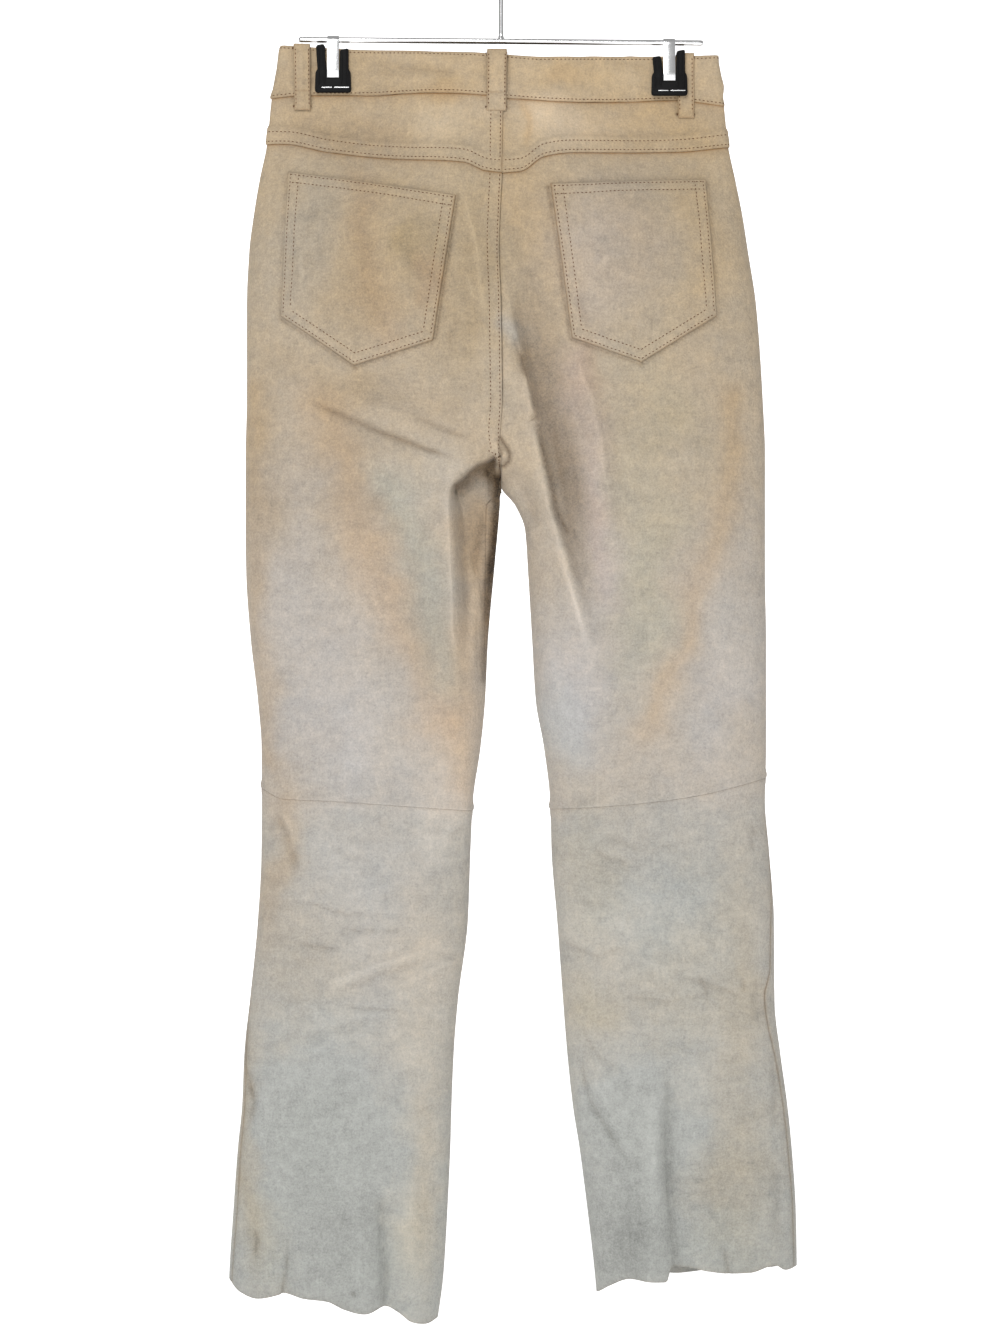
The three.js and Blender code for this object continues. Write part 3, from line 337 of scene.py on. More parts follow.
patches["back"] = [
    (0.12, -0.02, 0, -112, 290, 34, 62, 8),
    (0.06, -0.07, -0.12, -68, 272, 13, 22, 0),
    (0.08, -0.04, 0.24, -65, 306, 8, 16, 0),
    (-0.16, 0.01, -0.02, -165, 270, 20, 60, 0),
    (0.12, -0.05, 0, -62, 300, 16, 60, -8),
    (-0.2, 0.02, 0.2, 85, 290, 40, 60, 0),
    (0.12, 0, 0, 165, 275, 18, 70, 0),
    (0.12, -0.03, -0.05, -20, 300, 26, 90, 0),
    (0.14, -0.02, 0.05, 30, 260, 24, 60, -12),
    (0.1, -0.03, 0.02, -110, 396, 80, 22, 14),
    (-0.1, 0, 0.05, -172, 500, 22, 80, 0),
    (-0.08, 0.05, -0.02, -66, 478, 30, 30, 0),
    (-0.2, 0.04, 0.08, -152, 640, 40, 80, 0),
    (-0.1, 0.05, 0.04, -110, 700, 40, 44, 0),
    (0, 0.12, 0.02, -52, 735, 26, 40, 0),
    (0.04, 0.05, 0.02, -112, 858, 60, 60, 0),
    (0.34, -0.07, 0.08, -22, 530, 20, 70, 0),
    (0.02, -0.03, 0.1, 50, 440, 16, 60, -14),
    (0.06, -0.01, -0.2, 130, 460, 30, 90, 0),
    (-0.04, -0.02, -0.28, 118, 580, 24, 60, 6),
    (-0.14, 0.03, 0.02, 206, 590, 22, 60, 0),
    (-0.24, 0.05, 0.12, 62, 640, 30, 60, 0),
    (-0.16, 0.04, 0.08, 184, 670, 24, 50, 0),
    (-0.2, -0.02, -0.08, 48, 690, 24, 34, 0),
    (-0.1, 0.2, 0.04, 54, 172, 46, 22, 4),
    (0, -0.1, 0, -20, 300, 20, 70, 0),
    (0, -0.06, 0, -150, 182, 50, 16, 0),
    (0.04, 0.06, 0, 120, 128, 60, 16, 0),
    (0.06, -0.07, 0, -120, 128, 60, 16, 0),
    (0.14, -0.03, 0.02, -190, 760, 16, 60, 0),
    (-0.1, 0.03, 0.06, -120, 800, 60, 50, 0),
    (0.1, -0.06, 0, -180, 860, 24, 70, 0),
    (0.1, 0.03, 0.04, -60, 880, 26, 80, 0),
    (-0.05, 0.04, 0.05, -105, 900, 26, 60, 0),
    (-0.34, -0.03, -0.08, -150, 1010, 50, 60, 0),
    (0.26, -0.03, -0.02, -215, 1040, 12, 90, 0),
    (0.22, 0, 0.02, -62, 1060, 18, 80, 0),
    (0.1, -0.02, -0.1, -200, 1110, 24, 40, 0),
    (-0.2, -0.08, -0.06, -120, 1130, 40, 40, 0),
    (0.16, 0.06, -0.06, -74, 1124, 22, 60, 0),
    (0.05, -0.06, -0.1, 75, 800, 26, 60, 0),
    (-0.12, -0.03, -0.08, 150, 820, 54, 44, 0),
    (0.22, 0, -0.12, 72, 916, 22, 20, 0),
    (0.06, 0.01, -0.06, 160, 900, 40, 50, 0),
    (0.16, 0, -0.04, 205, 900, 20, 90, 0),
    (-0.26, -0.02, -0.06, 120, 1020, 44, 60, 0),
    (0.22, -0.05, -0.04, 200, 1060, 28, 60, 0),
    (-0.34, -0.13, -0.04, 105, 1110, 30, 40, 0),
    (0, 0, -0.1, 180, 1120, 40, 26, 0),
    (0.1, -0.03, 0.06, -120, 175, 60, 20, 0),
    (0.14, 0, 0.02, 120, 172, 70, 20, 0),
    (-0.08, 0.04, -0.04, -70, 165, 30, 16, 0),
    (0.06, 0.07, 0, 30, 128, 50, 14, 0),
    (0, -0.14, 0, -162, 284, 14, 40, 0),
    (0, -0.09, 0, -120, 402, 34, 16, 0),
    (0, -0.08, 0, -128, 487, 30, 40, 0),
    (0, -0.09, 0, -179, 674, 24, 50, 0),
    (-0.06, 0.12, 0, 84, 538, 20, 34, 0),
    (0, 0.13, 0.02, -50, 768, 24, 26, 0),
    (0, 0.12, 0, 100, 844, 50, 34, 0),
    (0, 0.11, 0, -64, 1000, 20, 110, 0),
    (0, -0.09, 0, -150, 168, 36, 22, 0),
    (-0.04, 0.13, 0, -44, 166, 30, 22, 0),
    (0, -0.08, 0, -22, 317, 18, 44, 0),
    (0.16, -0.08, 0.1, -44, 132, 15, 8, 0),
    (0.12, -0.08, 0.08, 64, 130, 15, 8, 0),
    (0.16, -0.12, 0.12, 24, 172, 7, 20, 0),
    (-0.28, -0.04, -0.06, -24, 473, 14, 10, 0),
    (0, -0.16, 0.1, 67, 332, 5, 13, -10),
    (0.08, -0.1, 0.16, 76, 378, 12, 14, -20),
    (0, 0.16, 0, -20, 578, 7, 30, 0),
    # painted shade: a grey patch at the top of the right thigh's fold
    (-0.3, -0.08, 0, 18, 358, 9, 14, -20),
    (0, -0.1, 0, -112, 300, 22, 40, 0),
    (0, -0.07, 0, -64, 292, 16, 40, 0),
    (0, -0.08, 0, 118, 292, 20, 40, 0),
    (0, -0.08, 0, -188, 470, 22, 40, 0),
    (0, -0.08, 0, -60, 590, 20, 34, 0),
    (0, -0.07, 0, 84, 420, 16, 26, 0),
    (0, -0.1, 0, -137, 1082, 30, 30, 0),
    (0, -0.1, 0, 101, 1082, 26, 34, 0),
    (0.08, -0.06, 0, 170, 1082, 24, 34, 0),
    (0, 0.18, 0, 44, 168, 26, 15, -24),
    (0, -0.07, 0, 152, 172, 26, 16, 0),
    (0.2, -0.02, 0.06, -195, 800, 12, 60, 0),
]
patches["front"] = [
    (0.3, 0.02, 0.1, -110, 560, 34, 150, 6),
    (0.22, 0.02, 0.08, 120, 560, 34, 150, -6),
    (-0.22, 0.04, 0.04, -110, 720, 60, 60, 0),
    (-0.18, 0.04, 0.04, 140, 720, 60, 60, 0),
    (0.12, -0.03, 0.02, -60, 300, 50, 70, 0),
    (-0.1, 0.02, 0.14, 110, 320, 50, 90, 0),
    (-0.24, -0.03, -0.06, -150, 1040, 60, 90, 0),
    (-0.2, -0.03, -0.06, 160, 1040, 60, 90, 0),
]
# How strong the fine wrinkles are, and the tones that run from the waist's tan to the hems' grey
wrinkles = {
    "drop": [100, 200, 400, 640, 800, 900, 1000, 1100, 1185],
    "strength": [0.1, 0.3, 0.5, 0.8, 1, 1.1, 0.9, 0.6, 0.5],
}
toneFall = {
    "drop": [100, 146, 215, 330, 430, 560, 700, 740, 760, 900, 1000, 1100, 1185],
    "warm": [0.84, 0.82, 0.75, 0.68, 0.58, 0.42, 0.32, 0.30, 0.20, 0.19, 0.13, 0.06, 0.02],
    "light": [1.05, 1.03, 0.98, 0.97, 0.99, 1.02, 1.05, 1.05, 1.0, 1.02, 1.0, 0.98, 0.96],
    "rose": [0.02, 0.04, 0.0, 0.02, 0.06, 0.12, 0.12, 0.1, 0.02, -0.02, -0.06, -0.1, -0.1],
}


def smooth(t):
    t = np.clip(t, 0, 1)
    return t * t * (3 - 2 * t)


def mix(a, b, t):
    return a + (b - a) * t


def signedPower(value, power):
    return np.sign(value) * np.abs(value) ** power


def lookUp(xs, ys, at):
    # smooth interpolation of one column against another, without overshoot
    xs, ys = np.asarray(xs, float), np.asarray(ys, float)
    step = np.diff(ys) / np.diff(xs)
    before, after = step[:-1], step[1:]
    total = np.where(before + after == 0, 1, before + after)
    middle = np.where(before * after > 0, 2 * before * after / total, 0)
    slope = np.concatenate(([step[0]], middle, [step[-1]]))
    at = np.clip(at, xs[0], xs[-1])
    i = np.clip(np.searchsorted(xs, at) - 1, 0, len(xs) - 2)
    span = xs[i + 1] - xs[i]
    t = (at - xs[i]) / span
    rise = ys[i + 1] - ys[i]
    a = slope[i] * span - rise
    b = rise - slope[i + 1] * span
    return ys[i] + t * rise + t * (1 - t) * (a * (1 - t) + b * t)


def fromTable(table, column, drop):
    return lookUp(table["drop"], table[column], drop)


def softNoise(x, y, size, seed):
    # smooth random hills about "size" millimetres across, between -1 and 1
    lattice = np.random.default_rng(seed).uniform(-1, 1, (64, 64))
    u, v = x / size + 1000, y / size + 1000
    i, j = np.floor(u).astype(int), np.floor(v).astype(int)
    s, t = smooth(u - i), smooth(v - j)
    low = mix(lattice[i % 64, j % 64], lattice[(i + 1) % 64, j % 64], s)
    high = mix(lattice[i % 64, (j + 1) % 64], lattice[(i + 1) % 64, (j + 1) % 64], s)
    return mix(low, high, t)


def nearestOnLine(line, x, y):
    # distance, signed distance and distance past the ends of a line of points, then the distance along it
    # from its nearer end, and its whole length
    best = np.full(x.shape, 1e9)
    signed = np.full(x.shape, 1e9)
    past, run, start = np.zeros(x.shape), np.zeros(x.shape), 0.0
    last = len(line) - 2
    for k, ((x0, y0), (x1, y1)) in enumerate(zip(line[:-1], line[1:])):
        dx, dy = x1 - x0, y1 - y0
        long = math.hypot(dx, dy)
        along = ((x - x0) * dx + (y - y0) * dy) / long
        aside = ((x - x0) * dy - (y - y0) * dx) / long
        held = np.clip(along, 0, long)
        away = np.hypot(x - x0 - held * dx / long, y - y0 - held * dy / long)
        over = np.zeros(x.shape)
        if k == 0:
            over = np.maximum(over, -along)
        if k == last:
            over = np.maximum(over, along - long)
        closer = away < best
        best = np.where(closer, away, best)
        side = np.where(over > 0, aside, np.where(aside < 0, -away, away))
        signed = np.where(closer, side, signed)
        past = np.where(closer, over, past)
        run = np.where(closer, start + held, run)
        start += long
    return best, signed, past, np.minimum(run, start - run), start


def pairs(points):
    return np.reshape(points, (-1, 2)).astype(float)


def creaseForms(face, x, drop):
    # how far the creases lift the cloth at each point, and the painted shade and highlight they lay on its
    # colour
    allX, allDrop = np.broadcast_arrays(x, drop)
    lifted, paintedShade = np.zeros(allX.shape), np.zeros(allX.shape)
    for k, (kind, rise, wide, shade, points, *given) in enumerate(creases[face]):
        line, option = pairs(points), given[0] if given else {}
        tail, reach = option.get("tail", max(1.6 * wide, 12)), option.get("reach", 0)
        margin = 6 + 5 * wide + (1.4 * reach + 3 * tail if reach else 0)
        low, high = line.min(0) - margin, line.max(0) + margin
        near = (allX > low[0]) & (allX < high[0]) & (allDrop > low[1]) & (allDrop < high[1])
        if not near.any():
            continue
        x, drop = allX[near], allDrop[near]
        sway = min(1, wide / 8)
        swayX, swayDrop = (sway * (2.2 * softNoise(x, drop, 26, seed) + 0.8 * softNoise(x, drop, 9, seed + 3))
                           for seed in (3, 4))
        away, signed, past, inside, length = nearestOnLine(line, x + swayX, drop + swayDrop)
        if kind == "soft":
            form = np.exp(-(away / wide) ** 2)
        elif kind == "crease":
            form = np.exp(-away / wide * 1.5) * 0.75 + np.exp(-(away / wide / 1.6) ** 2) * 0.25
        else:
            if "spread" in option:
                start, end, factor = option["spread"]
                wide = wide * mix(1, factor, smooth((drop - start) / (end - start)))
            form = smooth(signed / wide) * (1 - smooth((signed - 0.25 * reach) / reach))
        form = form * np.exp(-(past / tail) ** 2) * (1 + 0.22 * softNoise(x, drop, 38, 20 + k))
        taper = option.get("taper", 0 if reach or not rise else min(0.3 * length, 45))
        if taper:
            form = form * smooth((inside + 0.12 * taper) / taper)
        if "within" in option:
            least, most = option["within"]
            form = form * smooth((x - least) / 1.4) * smooth((most - x) / 1.4)
        if "fade" in option:
            start, end = option["fade"]
            form = form * smooth((end - drop) / (end - start))
        lifted[near] += rise * form
        paintedShade[near] += shade * form
    return lifted, paintedShade


def sectionAt(side, drop):
    start = math.pi / 2 * fromTable(depths, "stand", drop)
    square = fromTable(depths, "square", drop)
    return {
        "inner": fromTable(outline, side + "Inner", drop),
        "outer": fromTable(outline, side + "Outer", drop),
        "square": square,
        "angle": start,
        "first": signedPower(np.cos(start), 2 / square),
    }


def facing(turn):
    turn = np.where(turn > 2, turn - 2, np.where(turn < 0, turn + 2, turn))
    back = turn <= 1
    return back, np.where(back, turn, 2 - turn)


def acrossAt(side, turn, drop):
    section = sectionAt(side, drop)
    angle = mix(section["angle"], math.pi, facing(turn)[1])
    turned = signedPower(np.cos(angle), 2 / section["square"])
    return (section["first"] - turned) / (section["first"] + 1)


def besideClips(x):
    # how far each x is from the flat part in the nearer clip
    return np.minimum(*(np.abs(x - clip) for clip in sizes["clipX"])) - sizes["clipFlat"]


def openness(x, drop):
    near = 1 - smooth(besideClips(x) / 95)
    high = 1 - smooth((drop - 146) / 120)
    return 1 - near * high


def fineWrinkles(x, drop, back):
    # shallow wrinkles across the legs, strongest behind the calves, that come and go
    level = fromTable(wrinkles, "strength", drop)
    face = 700 * back
    patchy = smooth(0.35 + 1.1 * softNoise(x + face, drop, 48, 61))
    lines = 1 - 2.2 * np.abs(softNoise(0.36 * x + 0.12 * drop, drop + face, 11, 62))
    slanted = 1 - 2.2 * np.abs(softNoise(0.5 * x - 0.35 * drop, drop + 0.4 * x, 14, 63))
    return level * (patchy * lines + (1 - patchy) * slanted)


def bareSkin(side, turn, drop):
    # x and how far the section stands off the middle plane, before any creases
    section = sectionAt(side, drop)
    back, share = facing(turn)
    x = mix(section["inner"], section["outer"], acrossAt(side, turn, drop))
    shape = np.abs(np.sin(mix(section["angle"], math.pi, share))) ** (2 / section["square"])
    full = np.where(back, fromTable(depths, "back", drop), fromTable(depths, "front", drop)) * shape
    pinched = sizes["pinched"]
    opened = np.maximum(full - pinched, 0) * openness(x, drop) + np.minimum(full, pinched)
    return x, opened, back


def skin(side, turn, drop):
    x, opened, back = bareSkin(side, turn, drop)
    rise = np.where(back, creaseForms("back", x, drop)[0], creaseForms("front", x, drop)[0])
    rise = rise + 1.1 * softNoise(x, drop + 400 * back, 62, 11) + 0.5 * softNoise(x, drop, 24, 12)
    rise = rise + 0.16 * softNoise(x, drop, 9, 13) + 0.5 * fineWrinkles(x, drop, back)
    folded = opened + rise * smooth((opened - sizes["pinched"]) / 12)
    folded = np.maximum(folded, 0.4 * opened)
    return np.stack([x, np.where(back, -folded, folded), -drop], axis=-1)


def surfaceAt(x, drop, back=True):
    # the skin's points at given x, and which way it faces there
    x, drop = np.broadcast_arrays(np.asarray(x, float), np.asarray(drop, float))

    def pointsAt(x, drop):
        middle = 0.5 * (fromTable(outline, "leftInner", drop) + fromTable(outline, "rightInner", drop))
        sides = {}
        for side in ("left", "right"):
            section = sectionAt(side, drop)
            across = np.clip((x - section["inner"]) / (section["outer"] - section["inner"]), 0, 1)
            turned = section["first"] - across * (section["first"] + 1)
            angle = np.arccos(np.clip(signedPower(turned, section["square"] / 2), -1, 1))
            share = (angle - section["angle"]) / (math.pi - section["angle"])
            sides[side] = skin(side, share if back else 2 - share, drop)
        return np.where((x < middle)[..., None], sides["left"], sides["right"])

    nudge = 0.6
    over = pointsAt(x + nudge, drop) - pointsAt(x - nudge, drop)
    down = pointsAt(x, drop + nudge) - pointsAt(x, drop - nudge)
    normal = np.cross(over, down) * (-1 if back else 1)
    normal *= np.where(normal[..., 1:2] * (-1 if back else 1) < 0, -1, 1)
    return pointsAt(x, drop), normal / np.linalg.norm(normal, axis=-1, keepdims=True)


def levelAt(name, side, turn, across):
    rows = [lookUp(*zip(*levels[name][face + side.capitalize()]), across) for face in ("back", "front")]
    return np.where(facing(turn)[0], *rows)


def spaced(length, cell, first=0, last=0):
    # shares of a length, closer together for "first" and "last" millimetres at its ends
    def closeUp(reach):
        return np.concatenate([[0, 0.35, 0.9], np.arange(1.7, reach, cell / 2)]) if reach else np.zeros(1)

    start, end = closeUp(first), closeUp(last)
    room = length - start[-1] - end[-1]
    count = max(2, int(round(room / cell)))
    middle = start[-1] + room * np.arange(1, count) / count
    return np.concatenate([start, middle, length - end[::-1]]) / length


def along(points, axis):
    # distance of each point of a grid from the first row or column
    step = np.linalg.norm(np.diff(points, axis=axis), axis=-1)
    zero = np.zeros_like(np.take(step, [0], axis=axis))
    return np.cumsum(np.concatenate([zero, step], axis=axis), axis=axis)


def normalsOf(points, outward):
    normal = np.cross(np.gradient(points, axis=0), np.gradient(points, axis=1))
    normal /= np.maximum(np.linalg.norm(normal, axis=-1, keepdims=True), 1e-9)
    middle = points.shape[0] // 2, points.shape[1] // 2
    return normal if np.dot(normal[middle], outward) > 0 else -normal


def raised(points, outward, height):
    return points + normalsOf(points, outward) * height[..., None]


def evenShares(side, ends, drop, shares):
    # moves the shares of each row so that its steps are even along the cloth
    fine = np.linspace(0, 1, 181)
    turn = mix(ends[0], ends[1], fine)
    x, opened, back = bareSkin(side, turn, np.broadcast_to(drop, turn.shape))
    way = along(np.stack([x, np.where(back, -opened, opened)], axis=-1), 1)
    way /= way[:, -1:]
    return np.stack([np.interp(shares, row, fine) for row in way])


def panelPoints(side, face, top, low, cell, finish):
    # the outer face of a panel: rows run down, columns from the inner edge to the side seam
    middle = 0.5 if face == "back" else 1.5
    nominal = [float(levelAt(name, side, np.array(middle), np.array(0.5))) for name in (top, low)]
    rows = spaced(nominal[1] - nominal[0], cell, *finish["rows"])
    if finish["dense"]:
        fine = [share for share in 0.5 * (rows[1:] + rows[:-1])
                if finish["dense"][0] < mix(nominal[0], nominal[1], share) < finish["dense"][1]]
        rows = np.sort(np.concatenate([rows, fine]))
    columns = spaced(225 if top != "knee" else 200, cell, *finish["columns"])
    level = mix(nominal[0], nominal[1], rows)[:, None]
    start, inseam = (0, 1) if face == "back" else (2, 1)

    def ends(drop):
        return start + inseam * fromTable(seamRoll, side + "Inseam", drop), \
            1 - fromTable(seamRoll, side + "Side", drop)

    share = evenShares(side, ends(level), level, columns)
    drop = np.broadcast_to(level, share.shape)
    for _ in range(3):
        turn = mix(*ends(drop), share)
        across = acrossAt(side, turn, drop)
        drop = mix(levelAt(top, side, turn, across), levelAt(low, side, turn, across), rows[:, None])
    return skin(side, mix(*ends(drop), share), drop)


def finishSheet(points, outward, lifts=(), grooves=(), pressed=(), dirty=(), dirtAndShadowWide=2.8):
    # raises the seam allowances, sinks the stitch rows and rounds the edges
    normals = normalsOf(points, outward)
    rows, columns = along(points, 0), along(points, 1)
    near = {"top": rows, "low": rows[-1:] - rows, "inner": columns, "outer": columns[:, -1:] - columns}
    drop = -points[..., 2]
    height = np.zeros(drop.shape)
    for edge, lift, wide, fade in lifts:
        kept = (1 - smooth((near[edge] - wide) / 5)) * (1 - smooth((drop - fade) / 30))
        height = np.maximum(height, lift * kept)
    for edge, inset in grooves:
        height = height - 0.24 * np.exp(-((near[edge] - inset) / 1.1) ** 2)
    for edge in pressed:
        height = height - 0.8 * (1 - np.clip(near[edge] / 1.7, 0, 1)) ** 2
    # darkening along the given edges: wear at the seams, and painted shadow where an edge laps over or stands
    # off the cloth beneath it
    dirt = np.zeros(drop.shape)
    for edge, strength in dirty:
        fall = 0.6 * np.exp(-near[edge] / dirtAndShadowWide) + 0.6 * np.exp(-(near[edge] / 1.1) ** 2)
        dirt = np.maximum(dirt, strength * fall)
    for edge, inset in grooves:
        dirt = np.maximum(dirt, 0.04 * np.exp(-((near[edge] - inset) / 1.3) ** 2))
    return {"points": points + normals * height[..., None], "normals": normals, "near": near, "dirt": dirt}


def runUnder(sheet, edges, depth=1.6):
    # runs edges of a sheet on beneath their neighbours
    packed = np.concatenate([sheet["points"], sheet["normals"], sheet["dirt"][..., None]], axis=-1)
    for edge in edges:
        axis = 0 if edge in ("top", "low") else 1
        last = edge in ("low", "outer")
        packed = np.flip(packed, axis) if last else packed
        border = np.take(packed, [0], axis)
        outward = border[..., :3] - np.take(packed, [3], axis)[..., :3]
        outward /= np.maximum(np.linalg.norm(outward, axis=-1, keepdims=True), 1e-9)
        strips = []
        for reach, sunk in ((sizes["seamUnder"], depth), (0.9, depth), (0.3, 0.5 * depth)):
            strip = border.copy()
            strip[..., :3] += outward * reach - border[..., 3:6] * sunk
            # the strips tucked under are darkened fully: painted shadow in the gap under the neighbour's edge
            strip[..., 6] = 1
            strips.append(strip)
        packed = np.concatenate(strips + [packed], axis)
        packed = np.flip(packed, axis) if last else packed
    return packed[..., :3], packed[..., 3:6], packed[..., 6]


def tones(x, drop, back):
    # warm, light and rose of the suede at each point, with the creases' painted shade and highlight
    wobble = 16 * softNoise(x, drop, 46, 31) + 6 * softNoise(x, drop, 17, 32)
    sway = 16 * softNoise(x, drop, 46, 33) + 6 * softNoise(x, drop, 17, 34)
    found = {tone: fromTable(toneFall, tone, drop + 0.8 * wobble) for tone in ("warm", "light", "rose")}

    def add(tone, strength):
        for name, part in zip(found, tone):
            found[name] = found[name] + part * strength

    for *tone, wide, points in streaks:
        away = nearestOnLine(pairs(points), x + 0.6 * wobble, drop + 0.6 * sway)[0]
        add(tone, np.exp(-(away / wide) ** 2) * back)
    for face, rows in patches.items():
        for *tone, middleX, middleDrop, halfX, halfDrop, lean in rows:
            lean = math.radians(lean)
            dx, dy = x + wobble - middleX, drop + sway - middleDrop
            u = (dx * math.cos(lean) + dy * math.sin(lean)) / halfX
            v = (dy * math.cos(lean) - dx * math.sin(lean)) / halfDrop
            add(tone, np.exp(-(u * u + v * v) ** 1.25 * 0.8) * (back == (face == "back")))
    # the creases' and fine wrinkles' painted shade and highlight go into light, and the darkest part also
    # browns the colour as painted shadow
    paintedCreaseShade = np.where(back, creaseForms("back", x, drop)[1], creaseForms("front", x, drop)[1])
    paintedHollowShadow = np.minimum(paintedCreaseShade, 0)
    add((0, 1, 0), paintedCreaseShade - 0.2 * paintedHollowShadow + 0.045 * fineWrinkles(x, drop, back))
    found["light"] = np.maximum(found["light"], 0.18)
    found["seam"] = np.clip(-1.3 * paintedHollowShadow - 0.05, 0, 1.1)
    return found


def makeObject(name, vertices, faces, material):
    mesh = bpy.data.meshes.new(name)
    mesh.from_pydata((np.asarray(vertices) * mm).tolist(), [], [list(face) for face in faces])
    mesh.polygons.foreach_set("use_smooth", [True] * len(mesh.polygons))
    mesh.materials.append(material)
    mesh.update()
    piece = bpy.data.objects.new(name, mesh)
    bpy.context.scene.collection.objects.link(piece)
    return piece


def paint(piece, name, values):
    layer = piece.data.attributes.new(name, "FLOAT", "POINT")
    layer.data.foreach_set("value", np.asarray(values, dtype=np.float32).ravel())


def wallFaces(rows, columns):
    index = np.arange(rows * columns).reshape(rows, columns)
    quads = np.stack([index[:-1, :-1], index[1:, :-1], index[1:, 1:], index[:-1, 1:]], axis=-1).reshape(-1, 4)
    rim = np.concatenate([index[0, :-1], index[:-1, -1], index[-1, :0:-1], index[:0:-1, 0]])
    after = np.roll(rim, -1)
    offset = rows * columns
    return np.concatenate([
        quads,
        quads[:, ::-1] + offset,
        np.stack([rim, after, after + offset, rim + offset], axis=-1),
    ])


def cloth(node, sheet, thick, under=(), depth=1.6):
    # a wall of suede from its outer face, with its tones, wear and painted shadow, and a darker inner face
    points, normals, dirt = runUnder(sheet, under, depth)
    rows, columns = dirt.shape
    both = np.concatenate([points.reshape(-1, 3), (points - normals * thick).reshape(-1, 3)])
    faces = wallFaces(rows, columns)
    a, b, c = (both[faces[:, k]] for k in range(3))
    if np.einsum("ij,ij->i", a, np.cross(b, c)).sum() < 0:
        faces = faces[:, ::-1]
    piece = makeObject(node + "Cloth", both, faces.tolist(), materials["suede"])
    painted = tones(points[..., 0], -points[..., 2], points[..., 1] < 0)
    dirt = np.maximum(dirt, painted.pop("seam"))
    for tone, values in painted.items():
        paint(piece, tone, np.tile(values.ravel(), 2))
    paint(piece, "seam", np.concatenate([dirt.ravel(), np.full(rows * columns, 0.25)]))
    width = round(along(points, 1)[:, -1].max() * mm, 4)
    length = round(along(points, 0)[-1].max() * mm, 4)
    down, over = np.diff(points, axis=0)[:, :-1], np.diff(points, axis=1)[:-1]
    area = min(np.linalg.norm(np.cross(down, over), axis=-1).sum() * mm * mm, width * length)
    attach(piece, "suede", node)
    print(f"  {node}: cut {width * 1000:.0f} x {length * 1000:.0f} mm, {area * 1e4:.0f} cm2")
    return piece


def attach(piece, slot, *nodes):
    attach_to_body(piece, "root")
    if nodes:
        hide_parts(*nodes)


thread = {
    "pitch": 3.5,
    "long": 1.9,
    "thick": 1.0,
    "sunk": 0.2,
}
stitches = []    # every stitch: middle, direction, normal, length, thickness


def insetLine(sheet, edge, inset):
    # the points and normals of a sheet at an even distance from one of its edges
    near, points, normals = sheet["near"][edge], sheet["points"], sheet["normals"]
    if edge in ("inner", "outer"):
        near, points, normals = near.T, points.transpose(1, 0, 2), normals.transpose(1, 0, 2)
    if edge in ("low", "outer"):
        near, points, normals = near[::-1], points[::-1], normals[::-1]
    index = np.arange(len(near))
    at = np.array([np.interp(inset, near[:, k], index) for k in range(near.shape[1])])
    low = np.minimum(at.astype(int), len(near) - 2)
    share = (at - low)[:, None]
    column = np.arange(near.shape[1])
    return mix(points[low, column], points[low + 1, column], share), \
        mix(normals[low, column], normals[low + 1, column], share)


def sew(line, normals, trim=(0, 0), pitch=None, seed=5):
    way = np.concatenate([[0], np.cumsum(np.linalg.norm(np.diff(line, axis=0), axis=-1))])
    pitch = pitch or thread["pitch"]
    count = int((way[-1] - trim[0] - trim[1]) / pitch)
    random = np.random.default_rng(seed)
    for k in range(count):
        at = trim[0] + (k + 0.5) * pitch
        if at > way[-1] - trim[1]:
            break
        middle, normal, ahead, behind = (
            np.array([np.interp(place, way, source[:, axis]) for axis in range(3)])
            for place, source in ((at, line), (at, normals), (at + 1, line), (at - 1, line))
        )
        direction = ahead - behind
        aside = np.cross(direction, normal)
        direction += normal * random.uniform(-0.1, 0.1) + aside * random.uniform(-0.06, 0.06)
        stitches.append((middle - normal * thread["sunk"], direction, normal,
                         thread["long"] * random.uniform(0.9, 1.08), thread["thick"]))


def sewSheet(sheet, rows):
    for edge, inset, start, end in rows:
        line, normals = insetLine(sheet, edge, inset)
        sew(line, normals, (start, end), seed=int(inset * 10) + len(edge))


def threadMesh(name):
    # one joined mesh of every stitch, each a bead with rounded ends
    sides, rings = 6, ((-0.5, 0.0), (-0.4, 0.75), (0, 1.0), (0.4, 0.75), (0.5, 0.0))
    unit, faces = [], []
    for place, radius in rings:
        ringPoints = 1 if radius == 0 else sides
        for k in range(ringPoints):
            angle = 2 * math.pi * k / sides
            unit.append((place, radius * math.cos(angle), radius * math.sin(angle)))
    firsts = [1 + sides * k for k in range(3)]
    tip = 1 + 3 * sides
    for k in range(sides):
        after = (k + 1) % sides
        faces.append((0, firsts[0] + after, firsts[0] + k))
        faces.append((tip, firsts[2] + k, firsts[2] + after))
        for near, far in ((firsts[0], firsts[1]), (firsts[1], firsts[2])):
            faces.append((near + k, near + after, far + after, far + k))
    unit, vertices, allFaces = np.array(unit), [], []
    for number, (middle, direction, normal, long, thick) in enumerate(stitches):
        forward = direction / np.linalg.norm(direction)
        side = np.cross(normal, forward)
        side /= np.linalg.norm(side)
        up = np.cross(forward, side)
        vertices.append(middle + unit[:, :1] * long * forward + unit[:, 1:2] * thick / 2 * side
                        + unit[:, 2:] * thick / 2 * up)
        allFaces += [[corner + number * len(unit) for corner in face] for face in faces]
    piece = makeObject(name, np.concatenate(vertices), allFaces, materials["thread"])
    attach(piece, "zip_tape")
    print(f"  {name}: {len(stitches)} stitches")
    stitches.clear()


